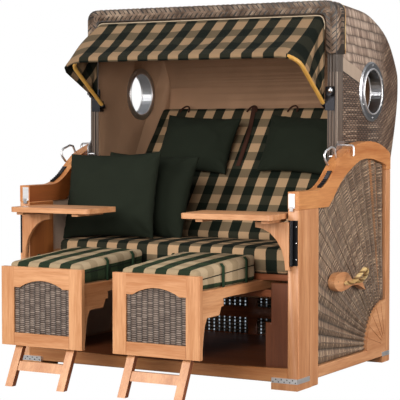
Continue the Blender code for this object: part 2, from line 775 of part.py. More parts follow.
def fan_ray(angle, outer, side, centre_y):
    """Cutter for one engraved ray of the quarter fan."""
    ray = box("fan_ray", (-FAN_RAY_DEPTH, OVERRUN), (FAN_RAY_START, FAN_RADIUS + OVERRUN),
              (-FAN_RAY_WIDTH / 2, FAN_RAY_WIDTH / 2))
    ray.data.transform(Matrix.Diagonal((side, 1.0, 1.0, 1.0)))
    if side < 0:
        ray.data.flip_normals()
    ray.data.transform(Matrix.Rotation(angle, 4, "X"))
    ray.data.transform(Matrix.Translation((outer, centre_y, BOTTOM_RAIL_TOP)))
    return ray


def wicker_panel(name, side):
    """Sunburst panel: ribs fan out from the quarter fan to the frame as one lofted skin."""
    rear_post_y = BASE_DEPTH - REAR_POST_DEPTH
    centre = Vector((rear_post_y, BOTTOM_RAIL_TOP))
    frame = [(FRONT_POST_DEPTH, BOTTOM_RAIL_TOP), (FRONT_POST_DEPTH, ARM_UNDERSIDE)] + opening_top()
    angles = {math.atan2(z - centre.y, y - centre.x) for y, z in frame}
    first = math.radians(90.0) + WICKER_EDGE_GAP / FAN_RADIUS
    last = math.radians(180.0) - WICKER_EDGE_GAP / FAN_RADIUS
    for index in range(2 * WICKER_RIB_COUNT + 1):
        angles.add(first + (last - first) * index / (2 * WICKER_RIB_COUNT))
    angles = sorted(min(max(angle, first), last) for angle in angles)
    kept = [angles[0]]
    for angle in angles[1:]:
        if angle - kept[-1] > math.radians(0.2):
            kept.append(angle)

    back_x = side * (BASE_WIDTH / 2 - WICKER_BACK_INSET)
    skin = bmesh.new()
    rows = []
    for angle in kept:
        ray = Vector((math.cos(angle), math.sin(angle)))
        near = centre + ray * (FAN_RADIUS + WICKER_EDGE_GAP)
        far = centre + ray * (reach(centre, ray, frame) - WICKER_EDGE_GAP * 2)
        phase = (angle - first) / (last - first) * WICKER_RIB_COUNT
        lift = WICKER_THICKNESS + WICKER_RIB_HEIGHT * (1 - abs(2 * (phase % 1.0) - 1))
        row = [skin.verts.new((back_x + side * height, place.x, place.y))
               for place in (near, far) for height in (0.0, lift)]
        rows.append(row)
    for before, after in zip(rows, rows[1:]):
        for one, other in ((0, 1), (1, 3), (3, 2), (2, 0)):
            skin.faces.new((before[one], before[other], after[other], after[one]))
    for end in (rows[0], rows[-1]):
        skin.faces.new((end[0], end[1], end[3], end[2]))
    bmesh.ops.triangulate(skin, faces=skin.faces)
    bmesh.ops.recalc_face_normals(skin, faces=skin.faces)
    mesh = bpy.data.meshes.new(name)
    skin.to_mesh(mesh)
    skin.free()
    return add_object(name, mesh, wicker())


def reach(start, ray, frame):
    """Distance from a point along a ray to the first edge of an open outline."""
    nearest = math.inf
    for one, other in zip(frame, frame[1:]):
        edge = Vector(other) - Vector(one)
        to_edge = Vector(one) - start
        crossing = ray.x * edge.y - ray.y * edge.x
        if abs(crossing) < TINY:
            continue
        distance = (to_edge.x * edge.y - to_edge.y * edge.x) / crossing
        along = (to_edge.x * ray.y - to_edge.y * ray.x) / crossing
        if distance > FAN_RADIUS and -TINY <= along <= 1 + TINY:
            nearest = min(nearest, distance)
    return nearest


def fish_handle(name, face_x, side):
    """Carry handle cut as a fish, with two holes for its rope left plain."""
    def place(share):
        return (FISH_NOSE_Y + share[0] * FISH_LENGTH, FISH_BELLY_Z + share[1] * FISH_HEIGHT)
    body = smooth_path([place(share) for share in FISH_BODY_SHARES], CURVE_STEPS)
    outline = body + [place(share) for share in FISH_TAIL_SHARES]
    fish = flat_board(name, "YZ", [outline], (face_x, face_x + side * FISH_THICKNESS), wood())
    return soften(fish, EDGE_ROUNDING * 1.5, 2)


def rope_loop(name, face_x, side):
    """Rope bow that stands out from the fish, on its real route."""
    points = [(face_x, ROPE_FRONT_Y, ROPE_Z)]
    middle_y = (ROPE_FRONT_Y + ROPE_REAR_Y) / 2
    half = (ROPE_REAR_Y - ROPE_FRONT_Y) / 2
    for step in range(ROPE_STEPS + 1):
        t = math.pi * step / ROPE_STEPS
        out = ROPE_LEAD + (ROPE_REACH - ROPE_LEAD) * max(math.sin(t), 0.0) ** 0.8
        points.append((face_x + side * out,
                       middle_y - half * math.cos(t) * (1 + ROPE_WIDEN_SHARE * math.sin(t)),
                       ROPE_Z + ROPE_RISE * math.sin(t) ** 2))
    points.append((face_x, ROPE_REAR_Y, ROPE_Z))
    return tube(name, points, ROPE_RADIUS, rope())


def build_base_middle(root):
    """Rails, floor, planks, back wall and the seat frame between the cheeks."""
    inner = CHEEK_INNER_X - GAP

    dip = [(-inner, FRONT_RAIL_TOP)]
    for step in range(13):
        t = step / 12
        dip.append((-inner + 2 * inner * t, FRONT_RAIL_TOP - FRONT_RAIL_DIP * math.sin(math.pi * t)))
    dip.append((inner, FRONT_RAIL_TOP))
    outline = [(-inner, FOOT_HEIGHT + GAP)] + dip[1:-1] + [(inner, FOOT_HEIGHT + GAP)]
    front = flat_board("front_rail", "XZ", [outline], (0.0, FRONT_RAIL_THICKNESS), wood())
    hang(soften(front), root)

    floor_top = FRONT_RAIL_TOP - FRONT_RAIL_DIP
    floor = box("floor_board", (-inner, inner),
                (FRONT_RAIL_THICKNESS + GAP, BASE_DEPTH - BACK_WALL_THICKNESS - GAP),
                (floor_top - FLOOR_BOARD_THICKNESS, floor_top), dark_wood())
    hang(soften(floor), root)

    for side, word in ((-1, "left"), (1, "right")):
        outline = [
            (side * PLANK_INNER_X, floor_top + GAP), (side * inner, floor_top + GAP),
            (side * inner, SEAT_BOARD_TOP - SEAT_BOARD_THICKNESS),
            (side * (PLANK_INNER_X + PLANK_NOTCH), SEAT_BOARD_TOP - SEAT_BOARD_THICKNESS),
            (side * (PLANK_INNER_X + PLANK_NOTCH), PLANK_NOTCH_Z),
            (side * PLANK_INNER_X, PLANK_NOTCH_Z)]
        plank = flat_board(f"footwell_plank_{word}", "XZ", [outline],
                           (PLANK_SETBACK, PLANK_SETBACK + PLANK_THICKNESS), dark_wood())
        hang(soften(plank), root)

    wall_front = BASE_DEPTH - BACK_WALL_THICKNESS
    wall = box("back_wall", (-inner, inner), (wall_front, BASE_DEPTH),
               (FOOT_HEIGHT + GAP, BACK_WALL_TOP), dark_wood())
    bay_width = (2 * inner - 3 * BACK_WALL_POST) / 2
    bay_height = (BACK_WALL_TOP - FOOT_HEIGHT - 3 * BACK_WALL_RAIL) / 2
    for column in range(2):
        for row in range(2):
            left = -inner + BACK_WALL_POST + column * (bay_width + BACK_WALL_POST)
            low = FOOT_HEIGHT + BACK_WALL_RAIL + row * (bay_height + BACK_WALL_RAIL)
            for start, end in ((wall_front - OVERRUN, BASE_DEPTH - BACK_WALL_THICKNESS / 2 - BACK_WALL_WEB / 2),
                               (BASE_DEPTH - BACK_WALL_THICKNESS / 2 + BACK_WALL_WEB / 2, BASE_DEPTH + OVERRUN)):
                cut(wall, box("wall_bay", (left, left + bay_width), (start, end), (low, low + bay_height)))
    hang(wall, root)

    build_seat_frame(inner, root)


def build_seat_frame(inner, root):
    """Slatted seat: front board, rear beam, slats, and the runner board below the front board."""
    board_low = SEAT_BOARD_TOP - SEAT_BOARD_THICKNESS
    board_rear = SEAT_FRONT_Y + SEAT_FRONT_BOARD_DEPTH
    frame = box("seat_frame", (-inner, inner), (SEAT_FRONT_Y, board_rear),
                (board_low, SEAT_BOARD_TOP), dark_wood())
    runner_top = RUNNER_RAIL_BOTTOM - GAP
    runner = box("runner_board", (-inner, inner), (board_rear - RUNNER_DEPTH, board_rear),
                 (runner_top - RUNNER_THICKNESS, runner_top))
    join(frame, runner)
    for side in (-1, 1):
        join(frame, box("end_block", (side * inner, side * (inner - SEAT_END_BLOCK)),
                        (board_rear - RUNNER_DEPTH, board_rear),
                        (runner_top - RUNNER_THICKNESS, SEAT_BOARD_TOP - SINK)))
    beam = box("rear_beam", (-inner, inner), (SEAT_REAR_Y - SEAT_BEAM_DEPTH, SEAT_REAR_Y),
               (board_low - SEAT_BEAM_DROP, board_low + SINK))
    pitch = (SEAT_SLAT_SPAN - SEAT_SLAT_WIDTH) / (SEAT_SLAT_COUNT - 1)
    for index in range(SEAT_SLAT_COUNT):
        middle = -SEAT_SLAT_SPAN / 2 + SEAT_SLAT_WIDTH / 2 + index * pitch
        slat = box("seat_slat", (middle - SEAT_SLAT_WIDTH / 2, middle + SEAT_SLAT_WIDTH / 2),
                   (board_rear - SINK, SEAT_REAR_Y - SINK), (board_low, SEAT_BOARD_TOP - SINK))
        join(frame, slat)
    join(frame, beam)
    hang(frame, root)


def hood_back(inset):
    """Roof and back of the hood seen from the side, inset by a wall, from the front down to the heel."""
    marks = [(HOOD_FRONT_Y + y * HOOD_DEPTH, z * HOOD_TOP) for y, z in HOOD_ROOF_SHARES]
    marks += [(HOOD_FRONT_Y + y * HOOD_DEPTH, z * BACK_TOP_Z) for y, z in HOOD_REAR_SHARES]
    marks += [(PIVOT_Y + y * (BASE_DEPTH - PIVOT_Y), z * PIVOT_Z) for y, z in HOOD_HEEL_SHARES]
    return offset_path(smooth_path(marks, HOOD_CURVE_STEPS), inset)


def hood_outline(inset, front, overrun):
    """Side outline of the hood's block, inset by a wall, run on below the heel."""
    back = hood_back(inset)
    before, heel = Vector(back[-2]), Vector(back[-1])
    foot = heel + (heel - before).normalized() * overrun
    outline = [(front, back[0][1])] + [point for point in back[:-1] if point[0] > front + EDGE_ROUNDING]
    return outline + [(foot.x, foot.y), (front, foot.y)]


def hood_block(name, half_width, inset, rounding, surface):
    """Solid block of the hood: its side outline at each step of the rounding towards both sides."""
    turns = [math.radians(90 * step / ROUNDING_STEPS) for step in range(ROUNDING_STEPS + 1)] if rounding else [0.0]
    stations = [(half_width - rounding * (1 - math.sin(turn)), rounding * (1 - math.cos(turn))) for turn in turns]
    stations = [(-x, draw) for x, draw in reversed(stations)] + stations
    block = bmesh.new()
    rings = []
    for x, draw in stations:
        outline = hood_outline(inset + draw, HOOD_FRONT_Y - OVERRUN, OVERRUN)
        rings.append([block.verts.new((x, y, z)) for y, z in outline])
    for one, other in zip(rings, rings[1:]):
        for index, (near, far) in enumerate(zip(one, other)):
            block.faces.new((near, far, other[index - 1], one[index - 1]))
    block.faces.new(rings[0])
    block.faces.new(rings[-1])
    bmesh.ops.recalc_face_normals(block, faces=block.faces)
    mesh = bpy.data.meshes.new(name)
    block.to_mesh(mesh)
    block.free()
    return add_object(name, mesh, surface)


def foot_trim(reach_out):
    """Cutter under the hood's sides: up to the front corner, round the pivot and down to the heel."""
    corner = Vector((HOOD_FRONT_Y, HOOD_FRONT_BOTTOM))
    toe = Vector((HOOD_FRONT_Y + HOOD_TOE_LENGTH, HOOD_TOE_Z))
    heel = Vector(hood_back(0.0)[-1])
    step = Vector((HOOD_WALL, EDGE_ROUNDING))
    start = toe + (corner - toe) * 3
    end = heel + step * 3
    low = end.y - 4 * OVERRUN
    outline = [tuple(start), tuple(toe)]
    outline += reversed(arc((PIVOT_Y, PIVOT_Z), PIVOT_CORNER_RADIUS, -50.0, -150.0, 5))
    outline += [tuple(heel - step), tuple(end), (end.x, low), (start.x, low)]
    return flat_board("foot_trim", "YZ", [outline], (-reach_out, reach_out))


def hood_skin(name, half_width, inset, wall, surface, rounding=0.0):
    """One skin of the hood: two side walls with the curved top and back, open in front and below."""
    reach_out = half_width + OVERRUN
    skin = hood_block(name, half_width, inset, rounding, surface)
    front_trim = box("front_trim", (-reach_out, reach_out), (HOOD_FRONT_Y - 3 * OVERRUN, HOOD_FRONT_Y),
                     (0.0, HOOD_TOP + OVERRUN))
    hollow = flat_board("hood_hollow", "YZ", [hood_outline(inset + wall, HOOD_FRONT_Y - 2 * OVERRUN, 3 * OVERRUN)],
                        (-half_width + wall, half_width - wall))
    rim_step = box("rim_step", (-reach_out, reach_out), (HOOD_FRONT_Y - 2 * OVERRUN, RIM_REAR_Y + GAP),
                   (RIM_SIDE_BOTTOM - GAP, HOOD_TOP + OVERRUN))
    cut(skin, cylinder("porthole_cut", (-reach_out, PORTHOLE_Y, PORTHOLE_Z), (1, 0, 0), 2 * reach_out,
                       PORTHOLE_CLEAR_RADIUS + PORTHOLE_TUBE_WALL + GAP * 2, steps=HOLE_STEPS))
    cut(skin, cylinder("pivot_cut", (-reach_out, PIVOT_Y, PIVOT_Z), (1, 0, 0), 2 * reach_out,
                       PIVOT_BOLT_RADIUS + GAP * 2))
    cut(skin, front_trim, foot_trim(reach_out), hollow, rim_step)
    shade_round(skin)
    return skin


def build_hood(hood):
    """Wicker shell, lining, rim, portholes, backrest and recline latches."""
    hang(hood_skin("hood_shell", HOOD_HALF_WIDTH, 0.0, HOOD_WALL, wicker(), HOOD_EDGE_ROUNDING), hood)
    lining_half = HOOD_HALF_WIDTH - HOOD_WALL - GAP
    hang(hood_skin("hood_lining", lining_half, HOOD_WALL + GAP, LINING_WALL, lining_cloth()), hood)

    outer = [(-RIM_HALF_WIDTH, RIM_SIDE_BOTTOM)]
    outer += arc((-RIM_HALF_WIDTH + RIM_CORNER_RADIUS, RIM_TOP - RIM_CORNER_RADIUS), RIM_CORNER_RADIUS, 180, 90, 4)
    outer += arc((RIM_HALF_WIDTH - RIM_CORNER_RADIUS, RIM_TOP - RIM_CORNER_RADIUS), RIM_CORNER_RADIUS, 90, 0, 4)
    outer += [(RIM_HALF_WIDTH, RIM_SIDE_BOTTOM), (RIM_INNER_HALF_WIDTH, RIM_SIDE_BOTTOM)]
    outer += arc((RIM_INNER_HALF_WIDTH - RIM_INNER_RADIUS, RIM_INNER_TOP - RIM_INNER_RADIUS),
                 RIM_INNER_RADIUS, 0, 90, 3)
    outer += arc((-RIM_INNER_HALF_WIDTH + RIM_INNER_RADIUS, RIM_INNER_TOP - RIM_INNER_RADIUS),
                 RIM_INNER_RADIUS, 90, 180, 3)
    outer += [(-RIM_INNER_HALF_WIDTH, RIM_SIDE_BOTTOM)]
    rim = flat_board("hood_rim", "XZ", [outer], (RIM_FRONT_Y, RIM_REAR_Y), wicker())
    hang(soften(rim, RIM_EDGE_ROUNDING, 2), hood)

    for side, word in ((-1, "left"), (1, "right")):
        hang(porthole(f"porthole_{word}", side), hood)
        hang(latch_plate(f"recline_latch_{word}", side), hood)
        hang(awning_latch(f"awning_latch_{word}", side), hood)
    build_backrest(hood)


def porthole(name, side):
    """Flanged ring turned about a line across the chair, clamped through both skins."""
    outer_face = HOOD_HALF_WIDTH + GAP
    inner_face = HOOD_INNER_X - GAP * 2
    bore = PORTHOLE_CLEAR_RADIUS
    tube_radius = bore + PORTHOLE_TUBE_WALL
    profile = [
        (bore, outer_face + PORTHOLE_FLANGE * PORTHOLE_LIP_SHARE),
        (bore + PORTHOLE_TUBE_WALL, outer_face + PORTHOLE_FLANGE),
        (PORTHOLE_RADIUS - PORTHOLE_FLANGE, outer_face + PORTHOLE_FLANGE),
        (PORTHOLE_RADIUS, outer_face + PORTHOLE_FLANGE * PORTHOLE_EDGE_SHARE),
        (PORTHOLE_RADIUS, outer_face),
        (tube_radius, outer_face),
        (tube_radius, inner_face),
        (PORTHOLE_INNER_FLANGE_RADIUS, inner_face),
        (PORTHOLE_INNER_FLANGE_RADIUS, inner_face - PORTHOLE_FLANGE * PORTHOLE_INNER_EDGE_SHARE),
        (bore, inner_face - PORTHOLE_FLANGE * PORTHOLE_LIP_SHARE),
    ]
    ring = bmesh.new()
    points = [ring.verts.new((radius, 0.0, along)) for radius, along in profile]
    for one, other in zip(points, points[1:] + points[:1]):
        ring.edges.new((one, other))
    mesh = bpy.data.meshes.new(name)
    ring.to_mesh(mesh)
    ring.free()
    made = add_object(name, mesh, chrome())
    turn = made.modifiers.new("turn", "SCREW")
    turn.steps = ROUND_STEPS
    turn.render_steps = ROUND_STEPS
    turn.use_merge_vertices = True
    turn.merge_threshold = GAP / 3
    turn.use_smooth_shade = False
    made.rotation_euler = (0.0, side * math.radians(90), 0.0)
    made.location = (0.0, PORTHOLE_Y, PORTHOLE_Z)
    return made


def latch_height():
    """Height of the lever's axis, on its circle about the hood's pivot."""
    return PIVOT_Z + math.sqrt(LATCH_RADIUS ** 2 - (PIVOT_Y - LATCH_Y) ** 2)


def latch_plate(name, side):
    """Plate on the hood's side that carries the lever and a thumb knob at the front edge."""
    face = HOOD_HALF_WIDTH + GAP
    outline = [
        (LATCH_PLATE_FRONT_Y, LATCH_PLATE_BOTTOM), (LATCH_PLATE_REAR_Y, LATCH_PLATE_BOTTOM + LATCH_KNOB_LENGTH),
        (LATCH_PLATE_REAR_Y, LATCH_PLATE_TOP), (LATCH_PLATE_FRONT_Y + LATCH_KNOB_LENGTH, LATCH_PLATE_TOP),
        (LATCH_PLATE_FRONT_Y, LATCH_PLATE_TOP - LATCH_KNOB_LENGTH)]
    plate = flat_board(name, "YZ", [outline], (side * face, side * (face + LATCH_PLATE_THICKNESS)), chrome())
    knob_y = HOOD_FRONT_Y - LATCH_KNOB_RADIUS - GAP
    knob = cylinder("thumb_knob", (side * (face + LATCH_PLATE_THICKNESS - SINK), knob_y, LATCH_KNOB_Z),
                    (-side, 0, 0), LATCH_KNOB_LENGTH, LATCH_KNOB_RADIUS, steps=16)
    join(plate, knob)
    return plate


def recline_lever(name, side):
    """Bent rod over the cheek, pulled up to free the recline latch."""
    start = side * (HOOD_HALF_WIDTH + LATCH_PLATE_THICKNESS + GAP * 2)
    end = side * (BASE_WIDTH / 2 + LEVER_OUTSIDE_GAP)
    height = latch_height()
    bend = LEVER_BEND
    points = [(start, LATCH_Y, height), (end - side * bend, LATCH_Y, height)]
    for step in range(1, 4):
        t = math.radians(90 * step / 4)
        points.append((end - side * bend * (1 - math.sin(t)), LATCH_Y, height - bend * (1 - math.cos(t))))
    points.append((end, LATCH_Y, height - bend))
    points.append((end, LATCH_Y, height - LEVER_DROP))
    return tube(name, points, LEVER_RADIUS, chrome())


def awning_latch(name, side):
    """Angle plate at the hood's front edge with the leaf that the bow swings on and a knob."""
    inner_face = HOOD_INNER_X - GAP * 2
    leaf_x = inner_face - AWNING_LEAF_THICKNESS
    front = HOOD_FRONT_Y - GAP
    plate = box(name, (side * leaf_x, side * (leaf_x + AWNING_PLATE_WIDTH)),
                (front - AWNING_PLATE_THICKNESS, front), (AWNING_PLATE_BOTTOM, AWNING_PLATE_TOP), chrome())
    leaf = box("bow_leaf", (side * leaf_x, side * inner_face),
               (front - SINK, AWNING_LEAF_REAR_Y), (AWNING_PLATE_BOTTOM, AWNING_LEAF_TOP))
    knob_x = side * (leaf_x + AWNING_PLATE_WIDTH - AWNING_KNOB_INSET)
    knob = cylinder("knob", (knob_x, front - SINK, AWNING_KNOB_Z), (0, -1, 0),
                    AWNING_KNOB_LENGTH, AWNING_KNOB_RADIUS, steps=16)
    join(plate, leaf, knob)
    return plate


def build_backrest(hood):
    """Backrest board, back cushion and two head pillows, laid out flat and then leaned back."""
    lean = empty("backrest_lean", (0.0, BACK_FOOT_Y, BACK_FOOT_Z), hood)
    lean.rotation_euler = (-BACK_ANGLE, 0.0, 0.0)
    half_width = HOOD_INNER_X - GAP * 2

    cushion = cushion_block("back_cushion", BACK_CUSHION_WIDTH, BACK_CUSHION_THICKNESS, BACK_LENGTH,
                            BACK_CUSHION_CROWN, check_cloth(), "Y")
    cushion.location = (0.0, BACK_CUSHION_THICKNESS / 2, BACK_LENGTH / 2)
    carry(cushion, lean)

    board_front = BACK_CUSHION_THICKNESS + GAP
    board = box("backrest_board", (-half_width, half_width),
                (board_front, board_front + BACK_BOARD_THICKNESS), (0.0, BACK_LENGTH), dark_wood())
    carry(board, lean)

    for side, word in ((-1, "left"), (1, "right")):
        pillow = pillow_block(f"head_pillow_{word}", HEAD_PILLOW_WIDTH, HEAD_PILLOW_THICKNESS,
                              HEAD_PILLOW_HEIGHT, plain_cloth())
        carry(pillow, lean)
        pillow.rotation_euler = (HEAD_PILLOW_TILT, 0.0, 0.0)
        pillow.location = (side * HEAD_PILLOW_X + HEAD_PILLOW_SHIFT, -HEAD_PILLOW_THICKNESS,
                           BACK_LENGTH - HEAD_PILLOW_DROP)
        settle(pillow, (0, 1, 0), cushion)


def grid_block(cuts):
    """Block centred on its middle, with each side divided."""
    block = bmesh.new()
    bmesh.ops.create_cube(block, size=2.0)
    for axis in range(3):
        if cuts[axis] == 0:
            continue
        along = [edge for edge in block.edges
                 if abs((edge.verts[0].co - edge.verts[1].co)[axis]) > 1.0]
        bmesh.ops.subdivide_edges(block, edges=along, cuts=cuts[axis], use_grid_fill=True)
    return block


def cushion_block(name, width, depth, height, crown, surface, crown_axis):
    """Box cushion with a crowned face and rounded, slightly drawn-in sides."""
    block = grid_block((6, 0, 4) if crown_axis == "Y" else (6, 4, 0))
    for vert in block.verts:
        u, v, w = vert.co
        if crown_axis == "Y":
            bulge = crown * (1 - u ** 2) * (1 - w ** 2)
            vert.co = (u * width / 2, v * depth / 2 + (bulge if v > 0 else -bulge), w * height / 2)
            if v > 0:
                vert.co.y = depth / 2
        else:
            bulge = crown * (1 - u ** 2) * (1 - v ** 2)
            vert.co = (u * width / 2, v * depth / 2, w * height / 2 + (bulge if w > 0 else 0.0))
    mesh = bpy.data.meshes.new(name)
    block.to_mesh(mesh)
    block.free()
    made = add_object(name, mesh, surface)
    soften(made, CUSHION_ROUNDING, 3, math.radians(60))
    shade_round(made)
    return made


def pillow_block(name, width, depth, height, surface):
    """Knife-edge pillow: full in the middle, thin at the seam, sides drawn in between the corners."""
    block = grid_block((5, 0, 5))
    for vert in block.verts:
        u, v, w = vert.co
        fill = math.sqrt(max((1 - u ** 4) * (1 - w ** 4), 0.0))
        half = PILLOW_SEAM / 2 + (depth - PILLOW_SEAM) / 2 * fill
        vert.co = (u * width / 2 * (1 - PILLOW_DRAW_SHARE * (1 - w ** 2)),
                   v * half,
                   w * height / 2 * (1 - PILLOW_DRAW_SHARE * (1 - u ** 2)))
    mesh = bpy.data.meshes.new(name)
    block.to_mesh(mesh)
    block.free()
    made = add_object(name, mesh, surface)
    round_off = made.modifiers.new("round", "SUBSURF")
    round_off.levels = 1
    round_off.render_levels = 1
    shade_round(made)
    return made


def build_awning(awning):
    """Bow that swings on the hood and the cloth stretched from the rim over it."""
    start = Vector((0.0, AWNING_PIVOT_Y, AWNING_PIVOT_Z))
    bar = Vector((0.0, AWNING_BAR_Y, AWNING_BAR_Z))
    arm = bar - start
    length = arm.length
    along = arm.normalized()
    points = [Vector((-BOW_HALF_WIDTH, 0, 0)) + start]
    for side in (-1, 1):
        corner = []
        for step in range(BOW_CORNER_STEPS + 1):
            t = math.radians(90 * step / BOW_CORNER_STEPS)
            across = BOW_HALF_WIDTH - BOW_CORNER_RADIUS * (1 - math.cos(t))
            out = length - BOW_CORNER_RADIUS * (1 - math.sin(t))
            corner.append(start + along * out + Vector((side * across, 0, 0)))
        points += corner if side < 0 else list(reversed(corner))
    points.append(Vector((BOW_HALF_WIDTH, 0, 0)) + start)
    hang(tube("awning_bow", points, BOW_RADIUS, bow_plastic()), awning)
    hang(awning_cloth("awning_cloth"), awning)


def awning_cloth(name):
    """Awning skin: sloping roof with a hem, and a gusset at each side, as one sheet."""
    sheet = bmesh.new()
    rear = Vector((0, CLOTH_REAR_Y, CLOTH_REAR_Z))
    clear = BOW_RADIUS + CLOTH_THICKNESS + GAP
    front = Vector((0, AWNING_BAR_Y - clear, AWNING_BAR_Z + clear))
    low_rear = Vector((0, CLOTH_REAR_Y, CLOTH_GUSSET_BOTTOM))
    low_front = front - Vector((0, 0, CLOTH_HEM))
    half = CLOTH_HALF_WIDTH

    def quad_grid(corners, columns, rows, sag):
        grid = []
        for row in range(rows + 1):
            t = row / rows
            line = []
            for column in range(columns + 1):
                s = column / columns
                top = corners[0].lerp(corners[1], s)
                bottom = corners[3].lerp(corners[2], s)
                place = top.lerp(bottom, t)
                place.z -= sag * math.sin(math.pi * t) * (1 - (2 * s - 1) ** 6)
                line.append(sheet.verts.new(place))
            grid.append(line)
        for one, other in zip(grid, grid[1:]):
            for column in range(columns):
                sheet.faces.new((one[column], other[column], other[column + 1], one[column + 1]))

    right = Vector((half, 0, 0))
    quad_grid([rear - right, rear + right, front + right, front - right], CLOTH_COLUMNS, CLOTH_ROWS, CLOTH_SAG)
    quad_grid([front - right, front + right, low_front + right, low_front - right],
              CLOTH_COLUMNS, CLOTH_SIDE_ROWS, 0.0)
    for offset in (right, -right):
        quad_grid([rear + offset, low_rear + offset, low_front + offset, front + offset],
                  CLOTH_SIDE_ROWS, CLOTH_ROWS, 0.0)
    bmesh.ops.remove_doubles(sheet, verts=sheet.verts, dist=GAP)
    bmesh.ops.recalc_face_normals(sheet, faces=sheet.faces)
    mesh = bpy.data.meshes.new(name)
    sheet.to_mesh(mesh)
    sheet.free()
    made = add_object(name, mesh, check_cloth())
    thick = made.modifiers.new("thickness", "SOLIDIFY")
    thick.thickness = CLOTH_THICKNESS
    thick.offset = -1.0
    shade_round(made)
    return made


def build_table(side, word, swing, root):
    """Swing table laid out along +X from its hinge axis, mirrored and turned to its place."""
    axis = empty(f"table_hinge_{word}", (side * TABLE_AXIS_X, TABLE_AXIS_Y, 0.0), root)
    axis.rotation_euler = (0.0, 0.0, side * swing)

    def towards(length):
        return -side * length

    start = TABLE_START
    end = start + TABLE_LENGTH
    front = -TABLE_FRONT_REACH
    rear = TABLE_DEPTH - TABLE_FRONT_REACH
    radius = TABLE_CORNER_RADIUS
    outline = []
    for centre, first in (((end - radius, rear - radius), 0), ((start + radius, rear - radius), 90),
                          ((start + radius, front + radius), 180), ((end - radius, front + radius), 270)):
        outline += arc(centre, radius, first, first + 90, 4)
    outline = [(towards(x), y) for x, y in outline]
    under = TABLE_TOP_Z - TABLE_THICKNESS
    board = soften(flat_board(f"table_board_{word}", "XY", [outline], (under, TABLE_TOP_Z), wood()))
    for middle in (start + BATTEN_FIRST, end - BATTEN_LAST):
        join(board, box("batten", (towards(middle - BATTEN_WIDTH / 2), towards(middle + BATTEN_WIDTH / 2)),
                        (front + BATTEN_SETBACK, rear - BATTEN_SETBACK), (under - BATTEN_THICKNESS, under + SINK)))
    carry(board, axis)

    near = HINGE_BARREL_RADIUS + GAP
    bracket_top = under - BATTEN_THICKNESS - GAP
    curve = []
    for step in range(7):
        t = math.radians(90 * step / 6)
        curve.append((BRACKET_TIP + (BRACKET_LENGTH - BRACKET_TIP) * (1 - math.cos(t)),
                      BRACKET_BOTTOM + (bracket_top - BRACKET_TIP - BRACKET_BOTTOM) * math.sin(t)))
    profile = [(near, bracket_top), (near, BRACKET_BOTTOM)] + curve + [(BRACKET_LENGTH, bracket_top)]
    profile = [(towards(x), z) for x, z in profile]
    bracket = flat_board(f"table_bracket_{word}", "XZ", [profile],
                         (-BRACKET_THICKNESS / 2, BRACKET_THICKNESS / 2), wood())
    carry(soften(bracket), axis)

    leaf = box(f"hinge_leaf_{word}",
               (side * TABLE_AXIS_X - HINGE_LEAF_WIDTH / 2, side * TABLE_AXIS_X + HINGE_LEAF_WIDTH / 2),
               (-GAP - HINGE_LEAF_THICKNESS, -GAP), (HINGE_BOTTOM, HINGE_TOP), black_steel())
    web = box("hinge_web", (side * TABLE_AXIS_X - HINGE_WEB / 2, side * TABLE_AXIS_X + HINGE_WEB / 2),
              (TABLE_AXIS_Y, -GAP - SINK), (HINGE_BOTTOM, HINGE_TOP))
    barrel = cylinder("hinge_barrel", (side * TABLE_AXIS_X, TABLE_AXIS_Y, HINGE_BOTTOM), (0, 0, 1),
                      HINGE_TOP - HINGE_BOTTOM, HINGE_BARREL_RADIUS, steps=14)
    hang(join(leaf, web, barrel), root)


